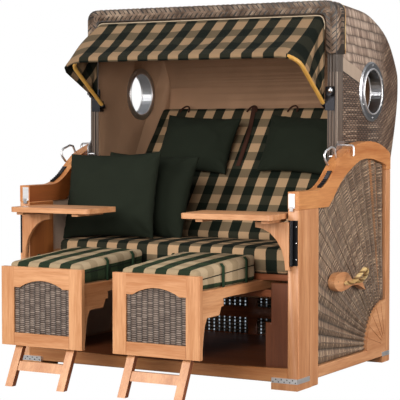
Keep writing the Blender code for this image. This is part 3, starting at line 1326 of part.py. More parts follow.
def build_footrest(side, word, root):
    """Pull-out footrest: arched front, wicker inset, slatted box, cushion and folding legs."""
    slide = empty(f"footrest_slide_{word}", (side * FOOTREST_CENTRE_X, FOOTREST_FRONT_Y, 0.0), root)
    middle = side * FOOTREST_CENTRE_X
    half = FOOTREST_WIDTH / 2
    opening = half - STILE_WIDTH
    rear_face = FOOTREST_FRONT_Y + FOOTREST_FRONT_THICKNESS

    def window(shrink):
        shape = [(-opening + shrink, FOOTREST_LOWER_RAIL_TOP + shrink),
                 (opening - shrink, FOOTREST_LOWER_RAIL_TOP + shrink),
                 (opening - shrink, FOOTREST_ARCH_SIDE_Z - shrink)]
        flat = opening - FOOTREST_ARCH_FLAT
        for step in range(13):
            t = step / 12
            rise = (FOOTREST_ARCH_TOP_Z - FOOTREST_ARCH_SIDE_Z) * math.sin(math.pi * t) ** 0.8
            shape.append((flat - 2 * flat * t, FOOTREST_ARCH_SIDE_Z + rise - shrink))
        shape.append((-opening + shrink, FOOTREST_ARCH_SIDE_Z - shrink))
        return [(middle + x, z) for x, z in shape]

    frame = [(middle - half, FOOTREST_BOTTOM), (middle + half, FOOTREST_BOTTOM),
             (middle + half, FOOTREST_TOP), (middle - half, FOOTREST_TOP)]
    front = flat_board(f"footrest_front_{word}", "XZ", [frame, window(0.0)],
                       (FOOTREST_FRONT_Y, rear_face), wood())
    hang(soften(front), slide)
    depth_middle = (FOOTREST_FRONT_Y + rear_face) / 2
    inset = flat_board(f"footrest_wicker_{word}", "XZ", [window(GAP * 2)],
                       (depth_middle - INSET_THICKNESS / 2, depth_middle + INSET_THICKNESS / 2), wicker())
    hang(inset, slide)

    box_front = rear_face + GAP
    rail_outer = half - RUNNER_RAIL_INSET
    rail_inner = rail_outer - RUNNER_RAIL_THICKNESS
    ogee_end = box_front + RAIL_BRACKET_LENGTH
    step_z = (RAIL_BRACKET_BOTTOM + RUNNER_RAIL_BOTTOM) / 2
    profile = [
        (box_front, RUNNER_RAIL_TOP), (box_front, FOOTREST_BOTTOM),
        (box_front + RAIL_RETURN_DEPTH / 2, FOOTREST_BOTTOM),
        (box_front + RAIL_RETURN_DEPTH, RAIL_BRACKET_BOTTOM - RAIL_RETURN_DEPTH),
        (box_front + RAIL_RETURN_DEPTH * RAIL_SHOULDER_SHARE, RAIL_BRACKET_BOTTOM),
        (ogee_end - RAIL_RETURN_DEPTH, RAIL_BRACKET_BOTTOM),
        (ogee_end - RAIL_RETURN_DEPTH / 2, step_z), (ogee_end, step_z),
        (ogee_end, RUNNER_RAIL_BOTTOM), (RUNNER_RAIL_END_Y, RUNNER_RAIL_BOTTOM),
        (RUNNER_RAIL_END_Y, RUNNER_RAIL_TOP)]
    rails = []
    for hand in (-1, 1):
        rails.append(soften(flat_board("side_rail", "YZ", [profile],
                                       (middle + hand * rail_inner, middle + hand * rail_outer))))
    body = rails[0]
    body.name = f"footrest_box_{word}"
    body.data.materials.clear()
    body.data.materials.append(wood())
    join(body, rails[1])
    slat_reach = rail_inner + RUNNER_RAIL_THICKNESS / 2
    slat_top = RUNNER_RAIL_TOP - EDGE_ROUNDING / 2
    first_y = box_front + 2 * EDGE_ROUNDING
    pitch = (RUNNER_RAIL_END_Y - 2 * EDGE_ROUNDING - SLAT_WIDTH - first_y) / (SLAT_COUNT - 1)
    for index in range(SLAT_COUNT):
        low_y = first_y + index * pitch
        join(body, box("box_slat", (middle - slat_reach, middle + slat_reach),
                       (low_y, low_y + SLAT_WIDTH), (slat_top - SLAT_THICKNESS, slat_top)))
    hang(body, slide)

    cushion_length = FOOT_CUSHION_REAR_Y - box_front
    cushion = cushion_block(f"footrest_cushion_{word}", FOOT_CUSHION_WIDTH, cushion_length,
                            FOOT_CUSHION_THICKNESS, FOOT_CUSHION_CROWN, check_cloth(), "Z")
    for vert in cushion.data.vertices:
        if vert.co.z > 0:
            vert.co.z += FOOT_CUSHION_WEDGE * (vert.co.y / cushion_length + 0.5)
    cushion.location = (middle, (FOOT_CUSHION_REAR_Y + box_front) / 2,
                        slat_top + GAP + FOOT_CUSHION_THICKNESS / 2)
    hang(cushion, slide)
    build_legs(middle, rail_inner, word, slide)


def build_legs(middle, rail_inner, word, slide):
    """Folding leg frame: two raked legs, a cross bar and the axle it turns on."""
    axle = empty(f"leg_axle_{word}", (middle, LEG_PIVOT_Y, LEG_PIVOT_Z), slide)
    run = Vector((LEG_TOE_Y - LEG_PIVOT_Y, -LEG_PIVOT_Z))
    along = run.normalized()
    across = Vector((-along.y, along.x)) * (LEG_THICKNESS / 2)
    top = Vector((LEG_PIVOT_Y, LEG_PIVOT_Z)) - along * LEG_THICKNESS / 2

    def on_line(shift, z):
        start = top + shift
        return (start.x + along.x / along.y * (z - start.y), z)

    outline = [tuple(top + across), tuple(top - across), on_line(-across, 0.0), on_line(across, 0.0)]
    legs = []
    for hand in (-1, 1):
        centre = middle + hand * LEG_OFFSET_X
        legs.append(flat_board("leg", "YZ", [outline], (centre - LEG_WIDTH / 2, centre + LEG_WIDTH / 2)))
    frame = legs[0]
    frame.name = f"leg_frame_{word}"
    frame.data.materials.clear()
    frame.data.materials.append(wood())
    bar_half = across * (LEG_BAR_THICKNESS / LEG_THICKNESS)
    bar_outline = [on_line(bar_half, LEG_BAR_TOP), on_line(-bar_half, LEG_BAR_TOP),
                   on_line(-bar_half, LEG_BAR_BOTTOM), on_line(bar_half, LEG_BAR_BOTTOM)]
    bar = flat_board("leg_bar", "YZ", [bar_outline], (middle - LEG_OFFSET_X, middle + LEG_OFFSET_X))
    rod = cylinder("leg_rod", (middle - rail_inner + GAP, LEG_PIVOT_Y, LEG_PIVOT_Z), (1, 0, 0),
                   2 * (rail_inner - GAP), LEG_AXLE_RADIUS, steps=14)
    join(frame, legs[1], bar, rod)
    hang(frame, axle)


def build_soft_seat(root):
    """Seat cushion and the two loose pillows that stand on it."""
    depth = SEAT_CUSHION_REAR_Y - SEAT_CUSHION_FRONT_Y
    cushion = cushion_block("seat_cushion", SEAT_CUSHION_WIDTH, depth, SEAT_CUSHION_THICKNESS,
                            SEAT_CUSHION_CROWN, check_cloth(), "Z")
    low = SEAT_BOARD_TOP + GAP
    cushion.location = (0.0, SEAT_CUSHION_FRONT_Y + depth / 2, low + SEAT_CUSHION_THICKNESS / 2)
    hang(cushion, root)
    top = low + SEAT_CUSHION_THICKNESS + SEAT_CUSHION_CROWN
    for name, x, y, lean in (("throw_pillow_front", THROW_FRONT_X, THROW_FRONT_Y, THROW_LEAN),
                             ("throw_pillow_rear", THROW_REAR_X, THROW_REAR_Y, THROW_REAR_LEAN)):
        pillow = pillow_block(name, THROW_PILLOW_WIDTH, THROW_PILLOW_THICKNESS, THROW_PILLOW_HEIGHT, plain_cloth())
        pillow.rotation_euler = (-lean, 0.0, 0.0)
        half = THROW_PILLOW_HEIGHT / 2
        pillow.location = (x, y + half * math.sin(lean), top + half * math.cos(lean) + THROW_PILLOW_THICKNESS / 2)
        hang(pillow, root)
        settle(pillow, (0, 0, -1), cushion)


def build_racks(root):
    """Toothed strip along the top of each arm rail's slope."""
    slope = [point for point in arm_top() if RACK_FRONT_Y <= point[0] <= RACK_REAR_Y]
    low = offset_path(slope, -GAP)
    teeth = []
    count = 2 * RACK_TOOTH_COUNT
    for index in range(count + 1):
        along = index / count * (len(slope) - 1)
        whole = min(int(along), len(slope) - 2)
        start = Vector(slope[whole])
        run = Vector(slope[whole + 1]) - start
        rise = GAP + RACK_THICKNESS + (RACK_TOOTH if index % 2 else 0.0)
        lift = Vector((-run.y, run.x)).normalized() * rise
        teeth.append(tuple(start + run * (along - whole) + lift))
    outline = low + list(reversed(teeth))
    for side, word in ((-1, "left"), (1, "right")):
        ends = (side * (RACK_X - RACK_WIDTH / 2), side * (RACK_X + RACK_WIDTH / 2))
        hang(flat_board(f"recline_rack_{word}", "YZ", [outline], ends, black_steel()), root)


def centre_on_footprint(root):
    """Move the chair so that its origin is the middle of its footprint."""
    bpy.context.view_layer.update()
    graph = bpy.context.evaluated_depsgraph_get()
    corners = []
    for piece in parts.objects:
        if piece.type != "MESH":
            continue
        evaluated = piece.evaluated_get(graph)
        corners += [evaluated.matrix_world @ vertex.co for vertex in evaluated.data.vertices]
    low = Vector([min(corner[axis] for corner in corners) for axis in range(3)])
    high = Vector([max(corner[axis] for corner in corners) for axis in range(3)])
    root.location = -Vector(((low.x + high.x) / 2, (low.y + high.y) / 2, low.z))
    bpy.context.view_layer.update()
    print("size", [round(value, 4) for value in high - low])
    print("root", [round(value, 5) for value in root.location])


def print_axes():
    """Where the joint axes lie in the finished chair."""
    for piece in parts.objects:
        if piece.type == "EMPTY":
            print(piece.name, [round(value, 5) for value in piece.matrix_world.translation])


def main():
    clear_scene()
    root = empty("chair", (0.0, 0.0, 0.0))
    hood = empty("hood_pivot", (0.0, PIVOT_Y, PIVOT_Z), root)
    awning = empty("awning_pivot", (0.0, AWNING_PIVOT_Y, AWNING_PIVOT_Z), hood)
    for side, word, swing in ((-1, "left", TABLE_SWING_LEFT), (1, "right", TABLE_SWING_RIGHT)):
        build_base_side(side, word, root)
        build_table(side, word, swing, root)
        build_footrest(side, word, root)
        lever = empty(f"lever_axis_{word}", (side * HOOD_HALF_WIDTH, LATCH_Y, latch_height()), hood)
        hang(recline_lever(f"recline_lever_{word}", side), lever)
    build_base_middle(root)
    build_racks(root)
    build_soft_seat(root)
    build_hood(hood)
    build_awning(awning)
    for tool in cutters.objects:
        if tool.parent is None:
            hang(tool, root)
    bpy.context.view_layer.update()
    centre_on_footprint(root)
    print_axes()


main()
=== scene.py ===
"""Looks of the hooded beach chair: oiled wood, woven wicker, check cloth, metal fittings, soft goods,
camera and studio light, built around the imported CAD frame. Lengths are in metres."""
import math

import bmesh
import bpy
from mathutils import Matrix, Vector, noise


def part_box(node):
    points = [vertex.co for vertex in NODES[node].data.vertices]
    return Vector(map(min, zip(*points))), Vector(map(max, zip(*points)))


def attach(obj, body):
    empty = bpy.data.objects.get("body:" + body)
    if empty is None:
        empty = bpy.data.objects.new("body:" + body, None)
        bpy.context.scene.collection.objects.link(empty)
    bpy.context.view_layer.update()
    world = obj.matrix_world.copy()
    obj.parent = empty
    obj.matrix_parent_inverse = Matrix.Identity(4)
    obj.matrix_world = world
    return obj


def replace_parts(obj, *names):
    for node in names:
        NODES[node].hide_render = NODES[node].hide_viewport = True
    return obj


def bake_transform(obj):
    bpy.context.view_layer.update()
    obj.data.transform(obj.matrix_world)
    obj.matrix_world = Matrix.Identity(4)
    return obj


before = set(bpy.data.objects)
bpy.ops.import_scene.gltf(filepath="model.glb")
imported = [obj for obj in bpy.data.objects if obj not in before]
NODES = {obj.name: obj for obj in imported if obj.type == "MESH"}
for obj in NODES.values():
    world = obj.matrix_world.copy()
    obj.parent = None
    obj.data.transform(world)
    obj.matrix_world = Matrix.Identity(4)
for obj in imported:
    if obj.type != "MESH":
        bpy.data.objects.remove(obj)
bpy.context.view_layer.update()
SIDES = (("left", -1), ("right", 1))

# Places of the CAD source, in its layout frame, where the front face of the base is at y = 0. Pairs are y, z.
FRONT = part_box("front_rail")[0].y
BASE_HALF = 0.680
FAN_CENTRE = Vector((0.885, 0.075))
PORTHOLE = Vector((0.845, 1.206))
BACK_FOOT = Vector((0.562, 0.560))
BACK_LEAN = math.radians(39)


def at(x, y, z):
    """A point of the layout frame in the row frame."""
    return Vector((x, y + FRONT, z))


# Node trees


class Value:
    """Output of a node, with the arithmetic of the Math nodes that follow it."""

    def __init__(self, tree, socket):
        self.tree = tree
        self.socket = socket

    def math(self, operation, other=0.0, third=0.0):
        return self.tree.node("Math", settings={"operation": operation}, i0=self, i1=other, i2=third)

    def __add__(self, other):
        return self.math("ADD", other)

    def __sub__(self, other):
        return self.math("SUBTRACT", other)

    def __mul__(self, other):
        return self.math("MULTIPLY", other)

    def __truediv__(self, other):
        return self.math("DIVIDE", other)

    def __pow__(self, other):
        return self.math("POWER", other)

    def __gt__(self, other):
        return self.math("GREATER_THAN", other)

    def __lt__(self, other):
        return self.math("LESS_THAN", other)

    def scaled(self, factor, shift):
        return self.math("MULTIPLY_ADD", factor, shift)

    def within(self, middle, reach):
        return (self - middle).math("ABSOLUTE") < reach

    def wave(self, pitch):
        """Sine wave of a given length, from 0 to 1."""
        return (self * (2 * math.pi / pitch)).math("SINE").scaled(0.5, 0.5)

    def humps(self):
        """Whole part of the value, and half a sine wave over the rest of it."""
        index = self.math("FLOOR")
        return index, ((self - index) * math.pi).math("SINE")


class Tree:
    """Adds nodes to a node tree. An input is named as i0 by its number, or as Some_Name."""

    def __init__(self, tree):
        self.tree = tree

    def put(self, socket, value):
        if isinstance(value, Value):
            self.tree.links.new(value.socket, socket)
        elif isinstance(value, tuple) and socket.type == "RGBA":
            socket.default_value = (*value, 1.0)
        else:
            socket.default_value = value

    def node(self, kind, output=0, settings=None, **inputs):
        made = self.tree.nodes.new("ShaderNode" + kind)
        for key, value in (settings or {}).items():
            setattr(made, key, value)
        for key, value in inputs.items():
            self.put(made.inputs[int(key[1:]) if key[1:].isdigit() else key.replace("_", " ")], value)
        return Value(self, made.outputs[output])

    def mix(self, share, one, other, blend="MIX"):
        return self.node("Mix", 2, {"data_type": "RGBA", "blend_type": blend}, i0=share, i6=one, i7=other)

    def between(self, share, one, other):
        return self.node("Mix", i0=share, i2=one, i3=other)

    def ramp(self, value, *stops):
        made = self.tree.nodes.new("ShaderNodeValToRGB")
        steps = made.color_ramp.elements
        while len(steps) < len(stops):
            steps.new(0.5)
        for step, (position, colour) in zip(steps, stops):
            step.position = position
            step.color = (*colour, 1.0) if isinstance(colour, tuple) else (colour, colour, colour, 1.0)
        self.put(made.inputs[0], value)
        return Value(self, made.outputs[0])

    def shaded(self, colour, value, *stops, share=1.0):
        """A colour multiplied by a ramp over a value."""
        return self.mix(share, colour, self.ramp(value, *stops), "MULTIPLY")

    def fade(self, value, start, end):
        return self.node("MapRange", Value=value, From_Min=start, From_Max=end)

    def noise(self, vector, scale, detail, rough=0.5):
        return self.node("TexNoise", Vector=vector, Scale=scale, Detail=detail, Roughness=rough)

    def grains(self, vector, factors, detail=2.0, rough=0.5, offset=(0.0, 0.0, 0.0)):
        """Noise over a vector that is stretched by its own factor on each axis."""
        stretched = self.node("Mapping", Vector=vector, Scale=factors, Location=offset)
        return self.noise(stretched, 1.0, detail, rough)

    def chance(self, column, row):
        """Random value of a cell."""
        cell = self.node("CombineXYZ", X=column, Y=row, Z=0.0)
        return self.node("TexWhiteNoise", settings={"noise_dimensions": "2D"}, Vector=cell)

    def split(self, vector):
        return [self.node("SeparateXYZ", axis, i0=vector) for axis in range(3)]


class Shader(Tree):
    """Node material with one Principled surface."""

    def __init__(self, name, roughness=0.5, metallic=0.0):
        self.material = bpy.data.materials.new(name)
        self.material.use_nodes = True
        super().__init__(self.material.node_tree)
        self.surface = self.tree.nodes["Principled BSDF"]
        self.surface.inputs["Roughness"].default_value = roughness
        self.surface.inputs["Metallic"].default_value = metallic
        self.uv = self.node("TexCoord", "UV")
        self.place = self.node("TexCoord", "Object")

    def sway(self, scale, amount, detail=2.0):
        """Slow wander of a weave's lines, up to an amount either way."""
        return self.grains(self.uv, (scale, scale, scale), detail).scaled(2 * amount, -amount)

    def bump(self, height, distance, strength):
        return self.node("Bump", Height=height, Distance=distance, Strength=strength)

    def finish(self, colour, normal, **others):
        for key, value in dict(others, Base_Color=colour, Normal=normal).items():
            self.put(self.surface.inputs[key.replace("_", " ")], value)
        return self.material


# Materials

GRAIN_ALONG, GRAIN_ACROSS, FINE_GRAIN, BOARD_GRAIN = 1.2, 17.0, 9.0, 2.6


def wood(name, grain, light, dark, seed=0.0, gloss=0.42):
    """Oiled hardwood with its grain along one axis."""
    s = Shader(name, gloss)
    factors = tuple(GRAIN_ALONG if axis == grain else GRAIN_ACROSS for axis in "XYZ")
    coarse = s.grains(s.place, factors, 4.0, 0.6, (seed, seed * 1.7, seed * 0.6))
    streaks = s.grains(s.place, tuple(value * FINE_GRAIN for value in factors), 3.0, 0.65, (seed, 0.0, seed))
    boards = s.grains(s.place, (BOARD_GRAIN, BOARD_GRAIN, BOARD_GRAIN), 1.0, 0.5, (seed, seed, 0.0))
    middle = tuple((a + b) / 2 for a, b in zip(light, dark))
    bright, dull = (tuple(value * share for value in light) for share in (1.12, 0.80))
    figure = coarse * 0.62 + streaks * 0.38
    colour = s.ramp(figure, (0.30, dark), (0.47, middle), (0.60, light), (0.80, bright))
    colour = s.mix(boards * 0.55, colour, dull, "MULTIPLY")
    relief = s.bump(streaks + coarse * 0.4, 0.0006, 0.35)
    return s.finish(colour, relief, Roughness=streaks.scaled(0.25, gloss - 0.12))


def weave_height(s, across, along, stake, row):
    """Rows of strands that pass over and under stakes: their height and a random value for each
    stretch of seven stakes."""
    index, round_row = (along / row).humps()
    over = ((across / stake + index) * math.pi).math("COSINE").scaled(0.5, 0.5)
    height = round_row ** 0.6 * over.scaled(0.72, 0.28)
    return height, s.chance(index, (across / (stake * 7.0)).math("FLOOR"))


def weave_tone(s, height, chance, tones, gap=0.08):
    """Colour of a weave: painted shade in its gaps and a painted highlight on its crowns, each stretch with a
    tone of its own.
    """
    tone = s.ramp(chance, *zip((0.0, 0.5, 1.0), tones))
    tone = s.shaded(tone, s.grains(s.uv, (90.0, 700.0, 1.0)), (0.3, 0.45), (0.7, 1.1), share=0.30)
    # Painted shade in the gaps between strands, painted highlight on their crowns
    return s.shaded(tone, height, (0.02, gap), (0.30, 0.48), (0.90, 1.15))


def flat_wicker(name, stake, row, tones):
    """Plain weave of strands over stakes, with small gaps that glow with painted daylight."""
    s = Shader(name)
    u, v, _ = s.split(s.uv)
    v = v + s.sway(9.0, row * 0.6)
    height, chance = weave_height(s, u, v, stake, row)
    # Painted light: the gaps glow as if daylight came through them
    hole = (u / stake).math("FRACT").within(0.5, 0.12) * ((v / (row * 2)).math("FRACT") < 0.55)
    hole = hole * s.ramp(chance, (0.2, 0.15), (0.8, 1.0))
    daylight = s.mix(hole, (0.0, 0.0, 0.0), (0.46, 0.54, 0.62))
    return s.finish(weave_tone(s, height, chance, tones), s.bump(height, row * 0.42, 0.85),
                    Emission_Color=daylight, Emission_Strength=0.7)


def column_wicker(name, column, row, tones):
    """Upright columns of fine level strands, each column shifted against the next."""
    s = Shader(name, 0.48)
    u, v, _ = s.split(s.uv)
    index, swell = ((u + s.sway(14.0, 0.0015)) / column).humps()
    line, stroke = (v / row + index * 0.5).humps()
    height = swell ** 0.55 * stroke.scaled(0.75, 0.25)
    colour = weave_tone(s, height, s.chance(index, line), tones, 0.05)
    return s.finish(colour, s.bump(height, row * 0.55, 0.9))


# Hood weave. On the hood's sides, u runs back from the front of the base and v is the height.
COARSE_ROW, STROKE = 0.038, 0.0110
FINE_STAKE, FINE_ROW = 0.0165, 0.0094
TWILL_STAKE, TWILL_ROW, TWILL_SLANT = 0.026, 0.0105, 0.9
WRAP = 0.0135
STRIP_START, STRIP_END, STRIP_TOP, DARK_STRIP_FOOT = 0.30, 0.541, 1.372, 1.284
BRIGHT_LINE, BRIGHT_LINE_HALF = 0.482, 0.004
BAND_SLOPE, BAND_TOP, BAND_WIDTH, BAND_END = -0.272, 1.494, 0.060, 0.760
BAND_EDGE_HALF, BAND_EDGE_END = 0.0028, 0.740
COARSE_FADE, TWILL_FADE = (1.02, 0.90), (0.90, 1.00)


def hood_wicker(name):
    """Hood's weave: coarse light rows above, a smooth band under them, fine rows below, twill behind."""
    s = Shader(name)
    u, v, _ = s.split(s.uv)
    sway = s.sway(7.0, 0.006)

    # Each weave below is painted darker in its gaps and lighter on its crowns: painted shade and painted
    # highlight
    # Coarse rows with short upright strokes
    row_index, round_row = ((u.scaled(0.06, v) + sway) / COARSE_ROW).humps()
    slant = v.scaled(0.42, u) + row_index * 0.004
    coarse = round_row ** 0.45 * slant.wave(STROKE).scaled(0.60, 0.40)
    coarse_tone = s.ramp(s.chance((slant / STROKE).math("FLOOR"), row_index), (0.0, (0.200, 0.128, 0.092)),
                         (0.6, (0.340, 0.242, 0.185)), (1.0, (0.54, 0.410, 0.320)))
    coarse_tone = s.shaded(coarse_tone, coarse, (0.05, 0.20), (0.40, 0.60), (0.9, 1.10))

    # Fine rows
    fine, chance = weave_height(s, u, v + sway, FINE_STAKE, FINE_ROW)
    fine_tone = s.ramp(chance, (0.0, (0.078, 0.044, 0.028)), (0.6, (0.125, 0.076, 0.052)),
                       (1.0, (0.28, 0.195, 0.138)))
    fine_tone = s.shaded(fine_tone, fine, (0.02, 0.10), (0.3, 0.50), (0.9, 1.25))

    # Twill on the rear
    twill, chance = weave_height(s, v.scaled(TWILL_SLANT, u), u.scaled(-TWILL_SLANT, v), TWILL_STAKE,
                                 TWILL_ROW)
    twill_tone = s.ramp(chance, (0.0, (0.095, 0.046, 0.025)), (0.5, (0.165, 0.092, 0.056)),
                        (1.0, (0.32, 0.210, 0.138)))
    twill_tone = s.shaded(twill_tone, twill, (0.02, 0.12), (0.3, 0.5), (0.9, 1.2))

    # Upright wrapped strands: the front strip and the smooth band
    wrap = u.wave(WRAP)
    wrap_tone = s.shaded((0.120, 0.084, 0.064), wrap, (0.0, 0.35), (0.4, 0.85), (1.0, 1.25))
    wrap_tone = s.mix(u.within(BRIGHT_LINE, BRIGHT_LINE_HALF), wrap_tone, (0.34, 0.275, 0.220))
    wrap_tone = s.mix(v > DARK_STRIP_FOOT, wrap_tone, (0.072, 0.052, 0.041))
    band_tone = s.shaded((0.40, 0.305, 0.235), wrap, (0.0, 0.70), (1.0, 1.05))

    # Where each weave lies, one over the other
    over_band = v - u.scaled(BAND_SLOPE, BAND_TOP)
    in_rear = s.fade(u + sway * 4.0, *TWILL_FADE).math("MAXIMUM", v < 0.0)
    in_band = (over_band > -BAND_WIDTH) * (u < BAND_END)
    in_coarse = (over_band + sway * 0.5 > 0.0) * s.fade(u + sway * 5.0, *COARSE_FADE)
    in_strip = (u < STRIP_END) * (v < STRIP_TOP) * (u > STRIP_START) * (v > 0.0)
    on_edge = over_band.within(-BAND_WIDTH, BAND_EDGE_HALF) * (u < BAND_EDGE_END)
    height, colour = fine, fine_tone
    for share, relief, tone in ((in_rear, twill, twill_tone), (in_band, 0.8, band_tone),
                                (in_coarse, coarse, coarse_tone)):
        height = s.between(share, height, relief)
        colour = s.mix(share, colour, tone)
    colour = s.mix(on_edge, colour, (0.03, 0.02, 0.015))
    colour = s.mix(in_strip, colour, wrap_tone)
    height = s.between(in_strip, height, wrap)
    colour = s.shaded(colour, s.grains(s.uv, (2.2, 2.2, 2.2)), (0.3, 0.62), (0.7, 1.2), share=0.5)
    return s.finish(colour, s.bump(height, 0.0042, 0.85))


# Sunburst weave. u runs round the fan, v out from its centre.
ORANGE_STRIPS = ((0.578, 0.590), (0.606, 0.614))
# Stretch of u over which the painted light and shade across each sector grows stronger towards the low
# sectors
LOW_SECTORS = (0.26, 0.12)


def sun_wicker(name, rib, row):
    """Sunburst weave: strands run round the fan, over one sector and under the next."""
    s = Shader(name)
    u, v, _ = s.split(s.uv)
    index, round_row = ((v + s.sway(8.0, row * 0.7)) / row).humps()
    sector = u / rib
    height = round_row ** 0.6 * (sector + index).wave(2.0).scaled(0.70, 0.30)
    colour = s.ramp(s.chance(index, (sector * 0.5).math("FLOOR")), (0.0, (0.195, 0.112, 0.067)),
                    (0.55, (0.310, 0.197, 0.125)), (1.0, (0.52, 0.365, 0.240)))
    # Painted shade in the gaps between rows, painted highlight on their crowns
    colour = s.shaded(colour, height, (0.04, 0.12), (0.35, 0.55), (0.95, 1.15))
    # Painted light and shade: each sector lighter on one side and darker on the other, more strongly in the
    # low sectors
    edge = sector.math("FRACT")
    lit = s.ramp(edge, (0.0, 0.55), (0.12, 0.85), (0.5, 1.15), (0.88, 0.95), (1.0, 0.55))
    low_lit = s.ramp(edge, (0.0, 0.28), (0.22, 0.60), (0.60, 1.30), (0.88, 1.10), (1.0, 0.30))
    colour = s.mix(1.0, colour, s.mix(s.fade(u, *LOW_SECTORS), lit, low_lit), "MULTIPLY")
    broad = s.grains(s.uv, (5.0, 3.0, 1.0))
    colour = s.shaded(colour, broad, (0.3, 0.62), (0.7, 1.25), share=0.5)
    # Orange strips, also painted darker in their gaps
    orange = s.shaded((0.50, 0.20, 0.06), height, (0.05, 0.2), (0.6, 1.0))
    for start, end in ORANGE_STRIPS:
        strip = (u > start) * (u < end) * s.ramp(broad, (0.35, 0.15), (0.6, 0.75))
        colour = s.mix(strip, colour, orange)
    return s.finish(colour, s.bump(height, 0.0045, 0.9))


def strand(name, tones, gloss=0.42):
    """A single resin strand, with streaks along it."""
    s = Shader(name, gloss)
    colour = s.ramp(s.noise(s.place, 22.0, 2.0), *zip((0.3, 0.5, 0.72), tones))
    fine = s.noise(s.place, 420.0, 2.0)
    return s.finish(s.shaded(colour, fine, (0.3, 0.45), (0.7, 1.0), share=0.35), s.bump(fine, 0.0006, 0.5))


def yarns(s, pitch):
    """Relief of a plain yarn weave."""
    u, v, _ = s.split(s.uv)
    height = (u * (math.pi / pitch)).math("SINE") * (v * (math.pi / pitch)).math("SINE")
    return s.bump(height, 0.0005, 0.5)


STRIPE_WIDTH = 0.052


def check_cloth(name, greens, beiges, bright=1.0, band_width=0.050):
    """Green and beige stripes crossed by darker bands; a bright below one darkens the whole cloth as painted
    shade.
    """
    s = Shader(name, 0.9)
    u, v, _ = s.split(s.uv)
    stripe = ((u + s.sway(3.0, 0.003, 1.0)) / (STRIPE_WIDTH * 2)).math("FRACT") > 0.5
    band = (v / (band_width * 2)).math("FRACT") > 0.5
    colour = s.mix(stripe, s.mix(band, *greens), s.mix(band, *beiges))
    colour = s.shaded(colour, s.grains(s.uv, (900.0, 900.0, 1.0)), (0.3, 0.55), (0.7, 1.1), share=0.45)
    colour = s.mix(1.0, colour, (bright, bright, bright), "MULTIPLY")
    return s.finish(colour, yarns(s, 0.0011), Specular_IOR_Level=0.15)


def plain_cloth(name, colour, pitch=0.0012):
    """Plain woven cloth of one colour."""
    s = Shader(name, 0.88)
    tone = s.shaded(colour, s.grains(s.uv, (500.0, 500.0, 1.0), 3.0), (0.3, 0.5), (0.7, 1.15), share=0.4)
    tone = s.shaded(tone, s.grains(s.uv, (7.0, 7.0, 1.0)), (0.3, 0.7), (0.7, 1.2), share=0.25)
    return s.finish(tone, yarns(s, pitch), Specular_IOR_Level=0.15)


def metal(name, colour, roughness, brushed=0.0):
    """Metal with faint polishing marks."""
    s = Shader(name, roughness, 1.0)
    marks = s.grains(s.place, (30.0, 30.0, 300.0), 3.0)
    tone = s.shaded(colour, marks, (0.3, 0.7), (0.7, 1.0), share=0.25)
    return s.finish(tone, s.bump(marks, 0.0003, brushed), Roughness=marks.scaled(0.12, roughness - 0.05))


LIGHT_WOOD, DARK_WOOD = (0.67, 0.365, 0.185), (0.41, 0.160, 0.052)
# Dark red wood colours: painted shade for the pieces in shadow inside the base and for the side faces of the
# legs; the joints of the footrest fronts use them too
RED_WOOD, DEEP_WOOD = (0.27, 0.078, 0.022), (0.125, 0.031, 0.009)
GREENS = ((0.026, 0.027, 0.017), (0.006, 0.010, 0.006))
BEIGES = ((0.470, 0.305, 0.175), (0.190, 0.138, 0.082))

wood_x = wood("wood_grain_x", "X", LIGHT_WOOD, DARK_WOOD, 1.3)
wood_y = wood("wood_grain_y", "Y", LIGHT_WOOD, DARK_WOOD, 4.1)
wood_z = wood("wood_grain_z", "Z", LIGHT_WOOD, DARK_WOOD, 7.7)
arm_wood = wood("arm_rail_wood", "Y", (0.66, 0.32, 0.120), (0.40, 0.135, 0.034), 2.2)
# Darker, redder copies of the wood as painted shade, for the inner faces of the arm rails and front posts
shaded_arm = wood("inner_arm_wood", "Y", (0.27, 0.080, 0.016), (0.17, 0.042, 0.008), 2.9)
shaded_post = wood("inner_post_wood", "Z", (0.33, 0.115, 0.028), (0.22, 0.062, 0.013), 7.1)
# Front rail wood darkened as painted shade, for the shadow that the footrests cast on it
shaded_sill_wood = wood("shaded_sill_wood", "X", (0.52, 0.245, 0.095), (0.34, 0.120, 0.034), 8.4)
# Footwell planks painted very dark as painted shade of the deep footwell
shaded_plank_wood = wood("shaded_plank_wood", "Z", (0.165, 0.047, 0.014), (0.090, 0.023, 0.007), 6.6)
inner_x = wood("shaded_wood_x", "X", RED_WOOD, DEEP_WOOD, 3.3)
inner_z = wood("shaded_wood_z", "Z", RED_WOOD, DEEP_WOOD, 5.9)
bow_skin = wood("bow_lacquer", "Z", (0.66, 0.40, 0.10), (0.56, 0.30, 0.06), 6.0, 0.35)

side_weave = hood_wicker("hood_weave")
flat_weave = flat_wicker("back_weave", 0.028, 0.0080, ((0.07, 0.048, 0.035), (0.12, 0.085, 0.062),
                                                       (0.20, 0.15, 0.11)))
inset_weave = column_wicker("inset_weave", 0.0255, 0.0088, ((0.112, 0.080, 0.064), (0.165, 0.122, 0.099),
                                                            (0.240, 0.184, 0.150)))
sun_weave = sun_wicker("sunburst_weave", 0.0388, 0.0074)
plait = strand("plait_strand", ((0.115, 0.070, 0.045), (0.270, 0.182, 0.128), (0.520, 0.390, 0.285)))
